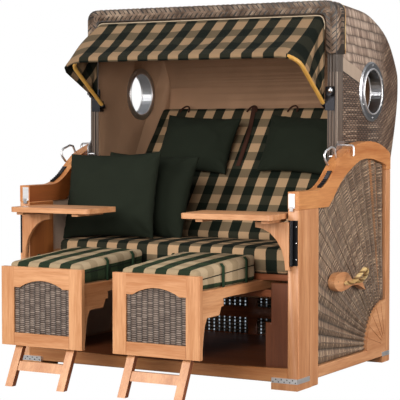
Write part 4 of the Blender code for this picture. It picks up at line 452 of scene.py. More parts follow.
# Near-black bed under the plait: painted shade in the gaps between its elements
shaded_plait_bed = strand("shaded_plait_bed", ((0.016, 0.011, 0.008), (0.026, 0.018, 0.013), (0.036, 0.026, 0.020)))
gold_strand = strand("gold_strand", ((0.42, 0.20, 0.05), (0.56, 0.33, 0.10), (0.70, 0.50, 0.22)))
ridge = strand("ridge_strand", ((0.15, 0.10, 0.07), (0.26, 0.19, 0.14), (0.40, 0.31, 0.24)))
rope_shade = strand("rope_shade", ((0.16, 0.085, 0.03), (0.24, 0.14, 0.05), (0.32, 0.20, 0.08)), 0.75)
rope_skin = strand("rope_strand", ((0.52, 0.33, 0.12), (0.66, 0.46, 0.20), (0.78, 0.60, 0.32)), 0.75)

check = check_cloth("check_cloth", GREENS, BEIGES)
# The awning's copy of the check, darkened to 0.62 as painted shade
check_roof = check_cloth("check_awning", GREENS, BEIGES, 0.62, 0.060)
# The footrest pads' copy of the check, its cross bands painted weaker as painted sheen on their lit fronts
check_foot = check_cloth("check_footrest", ((0.026, 0.044, 0.020), (0.015, 0.026, 0.013)),
                         ((0.450, 0.345, 0.220), (0.340, 0.255, 0.155)))
green = plain_cloth("dark_green_cloth", (0.0125, 0.0170, 0.0105))
strap_cloth = plain_cloth("strap_cloth", (0.020, 0.045, 0.022), 0.002)
brown_strap = plain_cloth("brown_strap", (0.055, 0.022, 0.014), 0.002)
lining = plain_cloth("taupe_lining", (0.450, 0.268, 0.165))
panel_lining = plain_cloth("panel_lining", (0.62, 0.45, 0.34))
piping_cloth = plain_cloth("cream_piping", (0.52, 0.42, 0.30), 0.002)
dark_seam = plain_cloth("dark_seam", (0.012, 0.016, 0.011), 0.002)

chrome = metal("polished_steel", (0.78, 0.79, 0.82), 0.12)
soft_chrome = metal("porthole_steel", (0.46, 0.47, 0.50), 0.30)
pale_steel = metal("pale_steel", (0.80, 0.80, 0.82), 0.42)
dull_steel = metal("galvanised_steel", (0.60, 0.60, 0.62), 0.34, 0.2)
black_steel = metal("black_steel", (0.035, 0.035, 0.040), 0.32, 0.1)


# Meshes

WELD_DISTANCE = 1e-5


def place_mesh(name, mesh, body=None):
    """Object for a mesh, riding on a body."""
    made = bpy.data.objects.new(name, mesh)
    bpy.context.scene.collection.objects.link(made)
    if body:
        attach(made, body)
    return made


def build_mesh(name, verts, faces, skin, uvs=None):
    """Smooth mesh; uvs holds one pair in metres for each vertex."""
    mesh = bpy.data.meshes.new(name)
    mesh.from_pydata([tuple(vert) for vert in verts], [], faces)
    if uvs:
        layer = mesh.uv_layers.new(name="metres")
        for loop in mesh.loops:
            layer.data[loop.index].uv = uvs[loop.vertex_index]
    mesh.materials.append(skin)
    mesh.shade_smooth()
    return mesh


def edit(mesh, *steps):
    """Apply bmesh steps to a mesh."""
    work = bmesh.new()
    work.from_mesh(mesh)
    for step in steps:
        step(work)
    work.to_mesh(mesh)
    work.free()


def weld(work):
    bmesh.ops.remove_doubles(work, verts=work.verts, dist=WELD_DISTANCE)


def turn_outward(work):
    bmesh.ops.recalc_face_normals(work, faces=work.faces)


def quads(base, rows, columns, round_rows=False, round_columns=False):
    """Faces between rows of points; a round direction joins its last points to its first."""
    faces = []
    for i in range(rows if round_rows else rows - 1):
        above = (i + 1) % rows
        for j in range(columns if round_columns else columns - 1):
            beside = (j + 1) % columns
            faces.append((base + i * columns + j, base + i * columns + beside,
                          base + above * columns + beside, base + above * columns + j))
    return faces


def circle(centre, one, other, radius, sides):
    """Points of a circle in the plane of two unit vectors."""
    return [centre + (one * math.cos(a) + other * math.sin(a)) * radius
            for a in (2 * math.pi * k / sides for k in range(sides))]


def cloth_grid(name, rows, skin, uv_rows, thickness, body=None):
    """Thickened sheet through rows of points."""
    verts = [point for row in rows for point in row]
    uvs = [uv for row in uv_rows for uv in row]
    made = place_mesh(name, build_mesh(name, verts, quads(0, len(rows), len(rows[0])), skin, uvs), body)
    thick = made.modifiers.new("thickness", "SOLIDIFY")
    thick.thickness = thickness
    thick.offset = 0.0
    return made


def path_frames(points, closed=False):
    """Each point of a path with two unit vectors across it that don't twist."""
    frames = []
    count = len(points)
    normal = None
    for i, point in enumerate(points):
        before = points[(i - 1) % count] if closed or i else point
        after = points[(i + 1) % count] if closed or i < count - 1 else point
        along = (after - before).normalized()
        normal = normal or along.orthogonal().normalized()
        normal = (normal - along * normal.dot(along)).normalized()
        frames.append((point, normal, along.cross(normal)))
    return frames


def tubes(name, paths, radius, skin, body, sides=8, closed=False):
    """One mesh of round tubes along several paths."""
    verts, faces, uvs = [], [], []
    for path in paths:
        path = [Vector(point) for point in path]
        base, length = len(verts), 0.0
        for i, (point, one, other) in enumerate(path_frames(path, closed)):
            if i:
                length += (point - path[i - 1]).length
            verts += circle(point, one, other, radius, sides)
            uvs += [(length, 0.01 * k) for k in range(sides)]
        faces += quads(base, len(path), sides, closed, True)
        if not closed:
            faces.append(tuple(reversed(range(base, base + sides))))
            faces.append(tuple(range(len(verts) - sides, len(verts))))
    return place_mesh(name, build_mesh(name, verts, faces, skin, uvs), body)


def block(name, low, high, skin, body, bevel=0.0006):
    """Small box with softened edges, between two corners in the layout frame."""
    low, high = at(*low), at(*high)
    work = bmesh.new()
    bmesh.ops.create_cube(work, size=1.0)
    for vert in work.verts:
        vert.co = Vector([(low[k] + high[k]) / 2 + vert.co[k] * (high[k] - low[k]) for k in range(3)])
    if bevel:
        bmesh.ops.bevel(work, geom=work.edges[:], offset=bevel, segments=2, affect="EDGES")
    mesh = bpy.data.meshes.new(name)
    work.to_mesh(mesh)
    work.free()
    mesh.materials.append(skin)
    return place_mesh(name, mesh, body)


# Radius and height of a stud's rings, as shares of its own
STUD_SHARES = ((1.0, 0.0), (1.0, 0.45), (0.72, 0.85), (0.3, 1.0))
STUD_SIDES = 12


def studs(name, places, normal, radius, depth, skin, body):
    """Row of domed screw heads."""
    verts, faces = [], []
    way = Vector(normal)
    one = way.orthogonal().normalized()
    for place in places:
        base = len(verts)
        for wide, high in STUD_SHARES:
            verts += circle(at(*place) + way * depth * high, one, way.cross(one), radius * wide, STUD_SIDES)
        faces += quads(base, len(STUD_SHARES), STUD_SIDES, round_columns=True)
        faces.append(tuple(range(len(verts) - STUD_SIDES, len(verts))))
    return place_mesh(name, build_mesh(name, verts, faces, skin), body)


def twin(node, body, skin, mapping, name=None, second=None, crease=35):
    """Copy of a CAD node's mesh with UVs in metres; second is another skin and the test for its faces."""
    mesh = NODES[node].data.copy()
    while mesh.uv_layers:
        mesh.uv_layers.remove(mesh.uv_layers[0])
    edit(mesh, weld)
    layer = mesh.uv_layers.new(name="metres")
    mesh.materials.clear()
    mesh.materials.append(skin)
    if second:
        mesh.materials.append(second[0])
    for face in mesh.polygons:
        face.material_index = 1 if second and second[1](face.center, face.normal) else 0
        for index in face.loop_indices:
            place = mesh.vertices[mesh.loops[index].vertex_index].co
            layer.data[index].uv = mapping(place, face.normal)
    mesh.shade_smooth()
    mesh.set_sharp_from_angle(angle=math.radians(crease))
    made = place_mesh(name or "woven_" + node, mesh, body)
    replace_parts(made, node)
    return made


# Wood and metal of the CAD pieces

STILE = 0.062
JOINT_HALF, JOINT_PROUD, JOINT_DEPTH, JOINT_FOOT, JOINT_TOP = 0.0005, 0.0003, 0.001, 0.002, 0.052
WOOD_CREASE = 10


def both(*names):
    return [f"{name}_{word}" for name in names for word, _ in SIDES]


def paint_cad_pieces():
    for skin, nodes in ((wood_z, both("rear_post", "table_bracket")),
                        (wood_y, both("bottom_rail", "fish_handle", "pivot_board", "footrest_box")),
                        (wood_x, both("table_board")),
                        (shaded_sill_wood, ["front_rail"]),
                        (inner_x, ["floor_board", "seat_frame", "backrest_board"]),
                        (shaded_plank_wood, both("footwell_plank")),
                        (bow_skin, ["awning_bow"]),
                        (soft_chrome, both("porthole")),
                        (dull_steel, both("recline_lever", "recline_latch")),
                        (black_steel, both("hinge_leaf", "recline_rack", "awning_latch"))):
        for node in nodes:
            NODES[node].data.materials.clear()
            NODES[node].data.materials.append(skin)


def object_uv(place, normal):
    """Box mapping in metres."""
    x, y, z = (abs(value) for value in normal)
    if x >= max(y, z):
        return (place.y, place.z)
    return (place.x, place.z) if y >= z else (place.x, place.y)


def build_footrest_front(word):
    """Front of a footrest: upright stiles and level rails, each with its own grain, and their joints."""
    node, body = f"footrest_front_{word}", f"footrest_{word}"
    low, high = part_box(node)
    joints = (low.x + STILE, high.x - STILE)

    def cut_stiles(work):
        for x in joints:
            geometry = work.verts[:] + work.edges[:] + work.faces[:]
            bmesh.ops.bisect_plane(work, geom=geometry, plane_co=(x, 0, 0), plane_no=(1, 0, 0))

    mesh = NODES[node].data.copy()
    edit(mesh, weld, cut_stiles)
    mesh.materials.clear()
    mesh.materials.append(wood_z)
    mesh.materials.append(wood_x)
    for face in mesh.polygons:
        face.material_index = 1 if joints[0] < face.center.x < joints[1] else 0
    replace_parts(place_mesh(f"grained_front_{word}", mesh, body), node)
    front = low.y - FRONT
    for tag, x in zip("ab", joints):
        block(f"stile_joint_{word}_{tag}", (x - JOINT_HALF, front - JOINT_PROUD, low.z + JOINT_FOOT),
              (x + JOINT_HALF, front + JOINT_DEPTH, low.z + JOINT_TOP), inner_z, body, 0.0)


def build_inner_faces():
    """Pieces with faces in shadow painted in darker, redder wood as painted shade: the inner faces of the arm
    rails and front posts, and both side faces of the leg frames.
    """
    for word, side in SIDES:
        def inward(centre, normal, side=side):
            return normal.x * side < -0.8

        def level(centre, normal):
            return abs(normal.x) > 0.8

        for node, body, name, skin, second in (
                ("arm_rail", "base", "arm_wood", arm_wood, (shaded_arm, inward)),
                ("front_post", "base", "post_wood", wood_z, (shaded_post, inward)),
                ("leg_frame", f"legs_{word}", "leg_wood", wood_z, (inner_z, level))):
            twin(f"{node}_{word}", body, skin, object_uv, f"{name}_{word}", second, WOOD_CREASE)


# Wicker

# The hood's outline over its top and down its back, as y, z
HOOD_CURVE = ((0.477, 1.578), (0.64, 1.568), (0.734, 1.56), (0.842, 1.543), (0.944, 1.509), (1.027, 1.462),
              (1.092, 1.408), (1.141, 1.332), (1.169, 1.239), (1.165, 1.156), (1.145, 1.074), (1.118, 1.012),
              (1.05, 0.80), (0.934, 0.52), (0.84, 0.26))
FRONT_EDGE_END, FRONT_EDGE_SHIFT = 0.56, 0.170
SUN_RADIUS = 0.42

# The opening of the frame around the sunburst, as y, z
FRAME_OPENING = ((0.184, 0.075), (0.184, 0.722), (0.281, 0.724), (0.326, 0.756), (0.37, 0.796),
                 (0.439, 0.842), (0.518, 0.878), (0.598, 0.906), (0.68, 0.913), (0.764, 0.906),
                 (0.84, 0.891), (0.885, 0.88))
RIBS, RIDGE_STEPS = 17, 14
RIDGE_FACE = BASE_HALF - 0.0115
RIDGE_START, RIDGE_GAP, RIDGE_OFFSET, RIDGE_WAVE, RIDGE_RADIUS = 0.206, 0.002, 0.0016, 0.0006, 0.0009
FRAME_GAP = 0.004


def curve_distance(y, z):
    """How far along the hood's top and back a point lies."""
    best, found, run = math.inf, 0.0, 0.0
    here = Vector((y, z))
    for one, other in zip(HOOD_CURVE, HOOD_CURVE[1:]):
        start, end = Vector(one), Vector(other)
        length = (end - start).length
        share = max(0.0, min(1.0, (here - start).dot(end - start) / length ** 2))
        gap = (start.lerp(end, share) - here).length
        if gap < best:
            best, found = gap, run + share * length
        run += length
    return found


def on_front_edge(place, normal):
    return normal.y < -0.7 and place.y - FRONT < FRONT_EDGE_END


def front_edge_uv(place):
    """The hood's front edge carries the upright strands of the strip beside it."""
    return (abs(place.x) - FRONT_EDGE_SHIFT, place.z)


def hood_uv(place, normal):
    if abs(normal.x) > 0.75:
        return (place.y - FRONT, place.z)
    if on_front_edge(place, normal):
        return front_edge_uv(place)
    return (place.x, -curve_distance(place.y - FRONT, place.z))


def lining_uv(place, normal):
    return front_edge_uv(place) if on_front_edge(place, normal) else object_uv(place, normal)


def sun_uv(place, normal):
    y, z = place.y - FRONT - FAN_CENTRE.x, place.z - FAN_CENTRE.y
    return (math.atan2(z, -y) * SUN_RADIUS, math.hypot(y, z))


def build_wicker():
    twin("hood_shell", "hood", side_weave, hood_uv)
    twin("hood_lining", "hood", lining, lining_uv, "cloth_lining", (side_weave, on_front_edge))
    twin("hood_rim", "hood", shaded_plait_bed, object_uv)
    wall_middle = middle("back_wall").y

    def is_web(centre, normal):
        return abs(normal.y) > 0.9 and abs(centre.y - wall_middle) < 0.012

    twin("back_wall", "base", inner_x, object_uv, second=(flat_weave, is_web))
    for word, side in SIDES:
        def inward(centre, normal, side=side):
            return normal.x * side < -0.5

        twin(f"wicker_panel_{word}", "base", sun_weave, sun_uv, second=(panel_lining, inward))
        twin(f"footrest_wicker_{word}", f"footrest_{word}", inset_weave, object_uv)
        build_sun_ridges(word, side)
    build_rim_plait()


def sun_reach(ray):
    """Distance from the fan's centre to the frame around the wicker, along a ray."""
    reaches = []
    for one, other in zip(FRAME_OPENING, FRAME_OPENING[1:]):
        edge = Vector(other) - Vector(one)
        start = Vector(one) - FAN_CENTRE
        cross = ray.cross(edge)
        if abs(cross) > 1e-9:
            reach, share = start.cross(edge) / cross, start.cross(ray) / cross
            if reach > 0.2 and -0.001 <= share <= 1.001:
                reaches.append(reach)
    return min(reaches) - FRAME_GAP


def build_sun_ridges(word, side):
    """Pairs of thin light strands along the ridges of the sunburst."""
    paths = []
    for index in range(1, RIBS + 1):
        angle = math.radians(90) * (1 + (index - 0.5) / RIBS)
        ray = Vector((math.cos(angle), math.sin(angle)))
        length = sun_reach(ray) - RIDGE_START - RIDGE_GAP
        for shift in (-RIDGE_OFFSET, RIDGE_OFFSET):
            path = []
            for step in range(RIDGE_STEPS + 1):
                off = shift + RIDGE_WAVE * math.sin(step * 2.2 + index)
                out = RIDGE_START + length * step / RIDGE_STEPS
                y, z = FAN_CENTRE + ray * out + Vector((-ray.y, ray.x)) * off
                path.append(at(side * RIDGE_FACE, y, z))
            paths.append(path)
    tubes(f"sunburst_ridges_{word}", paths, RIDGE_RADIUS, ridge, "base", 5)


# Middle line of the rim, in x and z: two uprights, two bends and the flat top; then half of its section
RIM_HALF, RIM_TOP, RIM_FOOT, RIM_BEND, RIM_FRONT = 0.603, 1.557, 1.362, 0.030, 0.4600
RIM_UPRIGHT = RIM_TOP - RIM_BEND - RIM_FOOT
RIM_ARC = RIM_BEND * math.pi / 2
RIM_LENGTH = 2 * (RIM_UPRIGHT + RIM_ARC + RIM_HALF - RIM_BEND)
FACE_HALF = FACE_CORNER = 0.0125

# One element of the plait; its reach is the way from the middle line over the inner and the outer edge
PLAIT_PITCH, PLAIT_OVERLAP, PLAIT_WOBBLE = 0.0245, 0.004, 0.0016
PLAIT_REACH = {-1: 0.060, 1: 0.094}
LEAN_SHARE, LEAN_END = 0.95, 0.062
THREADS, THREAD_SPACING, THREAD_STEPS, THREAD_SIDES = 3, 0.0058, 9, 5
THREAD_WIDE, THREAD_HIGH, THREAD_LIFT, THREAD_SINK = 0.0021, 0.0022, 0.0060, 0.0002
BINDING_X, BINDING_Y, BINDING_BEND_Z, BINDING_BEND, BINDING_RADIUS = 0.6262, 0.5525, 1.535, 0.045, 0.0032


def rim_frame(distance):
    """Point, direction and outward way of the rim's middle line, from its left foot."""
    if distance > RIM_LENGTH / 2:
        place, along, out = rim_frame(RIM_LENGTH - distance)
        return Vector((-place.x, place.y)), Vector((along.x, -along.y)), Vector((-out.x, out.y))
    if distance < RIM_UPRIGHT:
        return Vector((-RIM_HALF, RIM_FOOT + distance)), Vector((0, 1)), Vector((-1, 0))
    distance -= RIM_UPRIGHT
    if distance < RIM_ARC:
        a = distance / RIM_BEND
        out = Vector((-math.cos(a), math.sin(a)))
        place = Vector((RIM_BEND - RIM_HALF, RIM_TOP - RIM_BEND)) + out * RIM_BEND
        return place, Vector((out.y, -out.x)), out
    distance -= RIM_ARC
    return Vector((RIM_BEND - RIM_HALF + distance, RIM_TOP)), Vector((1, 0)), Vector((0, 1))


def rim_section(q):
    """Outward and backward place on the rim's section, and its normal, at a distance from its middle."""
    side = 1.0 if q >= 0 else -1.0
    past = abs(q) - FACE_HALF
    if past < 0:
        return q, 0.0, Vector((0.0, -1.0))
    a = min(past / FACE_CORNER, math.pi / 2)
    straight = max(0.0, past - FACE_CORNER * math.pi / 2)
    return (side * (FACE_HALF + FACE_CORNER * math.sin(a)), FACE_CORNER * (1 - math.cos(a)) + straight,
            Vector((side * math.sin(a), -math.cos(a))))


def plait_thread(start, side, off):
    """Rings of points of one thread, from the rim's middle line over its edge."""
    points = []
    crown = 1 - 0.35 * abs(off) / 1.5
    for step in range(THREAD_STEPS):
        share = step / (THREAD_STEPS - 1)
        q = side * (PLAIT_REACH[side] * share - PLAIT_OVERLAP)
        lean = LEAN_SHARE * min(max(side * q, 0.0), LEAN_END)
        place, along, out = rim_frame(max(0.0, min(RIM_LENGTH, start + off * THREAD_SPACING - lean)))
        across, back, way = rim_section(q)
        place += out * across
        normal = Vector((out.x * way.x, way.y, out.y * way.x))
        lift = THREAD_SINK + THREAD_LIFT * crown * math.sin(math.pi / 2 * min(share * 3, 1.0))
        centre = at(place.x, RIM_FRONT + back, place.y) + normal * lift / 2
        points += circle(centre, Vector((along.x, 0.0, along.y)) * THREAD_WIDE, normal * THREAD_HIGH, 1.0,
                         THREAD_SIDES)
    return points


def build_rim_plait():
    """Fishbone plait over the rim: elements of three thin strands that lean in towards the middle line."""
    verts, faces = [], []
    for index in range(int(RIM_LENGTH / PLAIT_PITCH) + 1):
        for side in (-1, 1):
            start = (index + max(side, 0) / 2) * PLAIT_PITCH + PLAIT_WOBBLE * math.sin(index * 2.3 + side)
            for thread in range(THREADS):
                base = len(verts)
                verts += plait_thread(start, side, thread - (THREADS - 1) / 2)
                faces += quads(base, THREAD_STEPS, THREAD_SIDES, round_columns=True)
                faces.append(tuple(range(base, base + THREAD_SIDES)))
                faces.append(tuple(range(len(verts) - THREAD_SIDES, len(verts))))
    mesh = build_mesh("rim_plait", verts, faces, plait)
    edit(mesh, turn_outward)
    place_mesh("rim_plait", mesh, "hood")
    rise = RIM_TOP - BINDING_BEND / 1.5 - RIM_FOOT
    line = [at(BINDING_X, BINDING_Y, RIM_FOOT + rise * k / 10) for k in range(11)]
    for a in (math.radians(18 * k) for k in range(1, 6)):
        inward, up = BINDING_BEND * (1 - math.cos(a)), BINDING_BEND * math.sin(a)
        line.append(at(BINDING_X - inward, BINDING_Y, BINDING_BEND_Z + up))
    tubes("rim_binding", [line], BINDING_RADIUS, gold_strand, "hood")


# Soft goods

PILLOW_CELLS = 46


def middle(node):
    low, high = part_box(node)
    return (low + high) / 2


def crumple(point, scale, amount, seed=0.0):
    return noise.noise(Vector(point) * scale + Vector((seed, seed * 2, 0))) * amount


def fill(made, seam, pressure, cap, slack=0.03, gather=0.10, frames=16):
    """Cloth simulation of a sewn cover pressed out by its filling; no point moves further than the cap."""
    start = [vertex.co.copy() for vertex in made.data.vertices]
    group = made.vertex_groups.new(name="seam")
    group.add(seam, 1.0, "REPLACE")
    cloth = made.modifiers.new("filled", "CLOTH")
    settings = cloth.settings
    settings.quality = 6
    settings.mass = 0.25
    settings.tension_stiffness = settings.compression_stiffness = 14
    settings.shear_stiffness = 6
    settings.bending_stiffness = 0.12
    settings.vertex_group_shrink = "seam"
    settings.shrink_min = -slack
    settings.shrink_max = gather
    settings.use_pressure = True
    settings.uniform_pressure_force = pressure
    settings.effector_weights.gravity = 0.0
    cloth.collision_settings.use_self_collision = False
    scene = bpy.context.scene
    for step in range(1, frames + 1):
        scene.frame_set(step)
    shaped = made.evaluated_get(bpy.context.evaluated_depsgraph_get())
    ends = [vertex.co.copy() for vertex in shaped.data.vertices]
    made.modifiers.remove(cloth)
    made.vertex_groups.remove(group)
    for vertex, one, other in zip(made.data.vertices, start, ends):
        move = other - one
        if move.length > cap:
            move *= cap / move.length
        vertex.co = one + move
    scene.frame_set(1)
    made.data.update()


def box_pad(name, size, radius, crown, skin, place, body, node, step=0.014, seam=None, shape=None,
            phase=(0.0, 0.0), side_run=1.0):
    """Box cushion with rounded edges, crowned faces and slight creases.

    place maps its own frame to the row frame, seam and shape move a point before and after the creases,
    and phase and side_run lay out the check pattern."""
    half = Vector(size) / 2
    core = half - Vector((radius, radius, radius))
    verts, faces, uvs = [], [], []
    for axis in range(3):
        a, b = [k for k in range(3) if k != axis]
        na, nb = (max(2, int(2 * half[k] / step)) for k in (a, b))
        for sign in (-1, 1):
            flipped = (sign > 0) != (axis != 1)
            faces += [(q, r, s, p) if flipped else (p, s, r, q)
                      for p, q, r, s in quads(len(verts), na + 1, nb + 1)]
            for i in range(na + 1):
                for j in range(nb + 1):
                    flat = Vector((0, 0, 0))
                    flat[axis] = sign * half[axis]
                    flat[a] = -half[a] + 2 * half[a] * i / na
                    flat[b] = -half[b] + 2 * half[b] * j / nb
                    inner = Vector([max(-core[k], min(core[k], flat[k])) for k in range(3)])
                    out = (flat - inner).normalized()
                    point = inner + out * radius
                    share = [max(1 - (flat[k] / half[k]) ** 2, 0.0) ** 0.5 for k in range(3)]
                    for k in range(3):
                        if abs(flat[k]) > 0.6 * half[k]:
                            point[k] += crown[k] * share[k - 1] * share[k - 2] * flat[k] / half[k]
                    if seam:
                        point = seam(point, flat)
                    creases = crumple(point, 11.0, 0.0022, len(name)) + crumple(point, 34.0, 0.0007, 3.0)
                    point += out * creases
                    if shape:
                        point = shape(point)
                    verts.append(place @ point)
                    down = side_run * (half.z - flat.z)
                    u, v = ((sign * (half.x + down), flat.y), (flat.x, sign * (half.y + down)),
                            (flat.x, flat.y))[axis]
                    uvs.append((u + phase[0], v + phase[1]))
    mesh = build_mesh(name, verts, faces, skin, uvs)
    edit(mesh, weld, turn_outward)
    made = place_mesh(name, mesh, body)
    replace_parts(made, node)


def pillow_point(u, w, sheet_side, size, flatten, seed):
    """Point of a pillow's front or back cover; u and w run from -1 to 1 across it and up it."""
    width, height, depth = size
    across, up = (math.sin(value * math.pi / 2) * 0.35 + value * 0.65 for value in (u, w))
    gap_across, gap_up = 1 - abs(across), 1 - abs(up)
    x = across * width / 2 * (1 - 0.045 * (1 - up ** 2) * abs(across) ** 3)
    z = up * height / 2 * (1 - 0.055 * (1 - across ** 2) * abs(up) ** 3)
    full = max(0.0, (1 - abs(across) ** 2.6) * (1 - abs(up) ** 2.6)) ** 0.55
    edge = min(gap_across, gap_up)
    along = x if gap_up < gap_across else z
    gather = math.sin(along * 95 + 3 * noise.noise(Vector((along * 14, seed, 0)))) * math.exp(-edge * 11)
    gather *= min(edge * 30, 1.0)
    corner = math.exp(-(gap_across ** 2 + gap_up ** 2) * 7)
    fold = math.sin((abs(across) - abs(up)) * 17 + seed) * corner * min(edge * 18, 1.0)
    y = sheet_side * (0.004 + depth / 2 * full + 0.0032 * gather + 0.0045 * fold)
    y += noise.noise(Vector((x * 7, z * 7, seed + sheet_side))) * 0.010 * full
    if flatten is not None and sheet_side > 0:
        y = min(y, flatten)
    return Vector((x, y, z))


def pillow(name, size, place, body, node, flatten=None, seed=0.0):
    """Knife-edge pillow with gathered seams; flatten is where its back is pressed flat."""
    line = PILLOW_CELLS + 1
    verts, faces, uvs = [], [], []
    for sheet_side in (-1, 1):
        faces += [(p, s, r, q) for p, q, r, s in quads(len(verts), line, line)]
        for i in range(line):
            for j in range(line):
                u, w = 2 * i / PILLOW_CELLS - 1, 2 * j / PILLOW_CELLS - 1
                point = pillow_point(u, w, sheet_side, size, flatten, seed)
                verts.append(place @ point)
                uvs.append((point.x, point.z))
    back = line ** 2
    last = PILLOW_CELLS
    rim = [i * line for i in range(last)] + [last * line + j for j in range(last)]
    rim += [(last - i) * line + last for i in range(last)] + [last - j for j in range(last)]
    faces += [(a, b, back + b, back + a) for a, b in zip(rim, rim[1:] + rim[:1])]
    mesh = build_mesh(name, verts, faces, green, uvs)
    edit(mesh, turn_outward)
    made = place_mesh(name, mesh)
    border = sorted(rim)
    fill(made, border + [back + index for index in border], 3.0, 0.010)
    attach(made, body)
    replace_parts(made, node)


def turned(degrees, axis):
    return Matrix.Rotation(math.radians(degrees), 4, axis)


def build_cushions():
    low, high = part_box("seat_cushion")
    seat = middle("seat_cushion")
    place = Matrix.Translation((seat.x, seat.y, low.z + 0.053))
    box_pad("seat_pad", (1.136, high.y - low.y - 0.002, 0.104), 0.020, (0.004, 0.002, 0.009), check, place,
            "base", "seat_cushion", phase=(-0.0463, 0.05))
    lean = Matrix.Rotation(-BACK_LEAN, 4, "X")
    place = Matrix.Translation(at(0, *BACK_FOOT)) @ lean @ Matrix.Translation((0, 0.031, 0.3775))
    place = place @ turned(90, "X")
    box_pad("back_pad", (1.140, 0.752, 0.060), 0.020, (0.003, 0.003, 0.006), check, place, "hood",
            "back_cushion", phase=(-0.049, 0.0))
    for word, side in SIDES:
        node = f"head_pillow_{word}"
        place = Matrix.Translation(middle(node)) @ Matrix.Rotation(math.radians(12) - BACK_LEAN, 4, "X")
        place = place @ turned(3, "Y")
        pillow(f"head_rest_{word}", (0.408, 0.300, 0.094), place, "hood", node, 0.046, side * 2.0)
    for name, node, seed, back, roll in (("throw_front", "throw_pillow_front", 5.0, -14, -2),
                                         ("throw_rear", "throw_pillow_rear", 9.0, -20, 2)):
        place = Matrix.Translation(middle(node)) @ turned(back, "X") @ turned(roll, "Y")
        pillow(name, (0.484, 0.404, 0.122), place, "base", node, seed=seed)


def on_back(x, up, out):
    """Point on the back cushion's face: across the chair, up its slope and out from its board."""
    rise, run = math.cos(BACK_LEAN), math.sin(BACK_LEAN)
    return at(x, BACK_FOOT.x + up * run - out * rise, BACK_FOOT.y + up * rise + out * run)


STRAP_STEPS, STRAP_TOP, STRAP_LENGTH, STRAP_HALF = 24, 0.752, 0.36, 0.011
LOOP_PLACES = (-0.430, -0.060, 0.155)


def build_back_straps():
    """The brown strap beside the left head pillow and the loops over the back's top edge."""
    rows, uv_rows = [], []
    for k in range(STRAP_STEPS + 1):
        t = k / STRAP_STEPS
        x = -0.058 + 0.010 * math.sin(t * 3.1) + 0.032 * t
        up, out = STRAP_TOP - STRAP_LENGTH * t, 0.0080 + 0.002 * math.sin(t * math.pi)
        rows.append([on_back(x - STRAP_HALF, up, out - 0.001), on_back(x, up, out),
                     on_back(x + STRAP_HALF, up, out - 0.001)])
        uv_rows.append([(STRAP_HALF * side, 0.015 * k) for side in range(3)])
    cloth_grid("pillow_strap", rows, brown_strap, uv_rows, 0.0020, "hood")
    loops = [[on_back(x + 0.024 * math.cos(a), 0.715 + 0.040 * math.sin(a), 0.0090 - 0.006 * math.sin(a))
              for a in (math.radians(15 * k) for k in range(13))] for x in LOOP_PLACES]
    tubes("strap_loops", loops, 0.0042, brown_strap, "hood")


PAD_HEIGHT, PAD_RISE = 0.077, 0.030
SEAM_DEPTH, SEAM_LEVEL, SEAM_HALF_WIDTH = 0.006, 0.004, 0.0045
STRAP_FOOT, STRAP_PROUD, STRAP_HALF_WIDTH = 0.385, 0.0035, 0.010
STRAP_PLACES = (("front", 0.20), ("rear", 0.395))


def build_footrest_pad(word, side):
    """Wedge-shaped pad with a seam round its sides, piping in the seam and two straps."""
    node, body = f"footrest_cushion_{word}", f"footrest_{word}"
    low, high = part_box(node)
    centre = middle(node)
    half_x, depth = (high.x - low.x) / 2, high.y - low.y

    def wedge(point):
        if point.z > -0.020:
            point.z += PAD_RISE * (point.y / depth + 0.5) * min(1.0, (point.z + 0.020) / 0.030)
        return point

    def seam(point, flat):
        groove = SEAM_DEPTH * math.exp(-((flat.z - SEAM_LEVEL) / SEAM_HALF_WIDTH) ** 2)
        if abs(flat.x) > 0.165:
            point.x -= math.copysign(groove, flat.x)
        if abs(flat.y) > depth / 2 - 0.008:
            point.y -= math.copysign(groove, flat.y)
        return point

    size = (2 * half_x - 0.001, depth - 0.001, PAD_HEIGHT)
    place = Matrix.Translation((centre.x, centre.y, low.z + 0.039))
    phase = (0.0277 if side < 0 else 0.016, 0.012)
    box_pad(f"footrest_pad_{word}", size, 0.014, (0.003, 0.002, 0.008), check_foot, place, body, node, 0.009,
            seam, wedge, phase, 0.35)
    for tag, sign in SIDES:
        x = centre.x + sign * (half_x + 0.0006)
        line = [(x, low.y + 0.012 + (depth - 0.024) * k / 20, low.z + 0.0432 + 0.024 * k / 20)
                for k in range(21)]
        tubes(f"pad_piping_{word}_{tag}", [line], 0.0021, dark_seam, body, 6)
    for strap, back in STRAP_PLACES:
        top = low.z + PAD_HEIGHT + 0.008 + PAD_RISE * back / depth
        outer = half_x + STRAP_PROUD
        ends = ((half_x - 0.008, top - 0.003), (outer, top - 0.016), (outer, STRAP_FOOT))
        for tag, sign in (("l", -1), ("r", 1)):
            line = ends if sign > 0 else tuple(reversed(ends))
            rows = [[Vector((centre.x + sign * (x + 0.0012), low.y + back + edge, z)) for x, z in line]
                    for edge in (-STRAP_HALF_WIDTH, STRAP_HALF_WIDTH)]
            uv_rows = [[(u, 0.01 * k) for k in range(len(line))] for u in (0.0, 0.02)]
            cloth_grid(f"pad_strap_{word}_{strap}_{tag}", rows, strap_cloth, uv_rows, 0.0018, body)


# Awning

BOW_PIVOT = Vector((0.487, 1.143))
BOW_BAR = Vector((0.205, 1.348))
BOW_HALF, BOW_BEND, GUSSET_START = 0.5612, 0.080, 0.030
SEAM_HALF, SEAM_Y, SEAM_TOP, SEAM_FOOT, SEAM_CORNER = 0.5745, 0.4585, 1.520, 1.172, 0.030
GUSSET_LINES, ROOF_LINES, AWNING_ROWS = 44, 150, 26
GUSSET_RUN = 0.30
ROOF_RUN, PATTERN_X, PATTERN_Y = 0.306, 0.011, 0.023
HEM_PLACES = ((-0.0085, 0.0085), (-0.0112, 0.0020), (-0.0108, -0.0060), (-0.0080, -0.0115),
              (-0.0050, -0.0135))


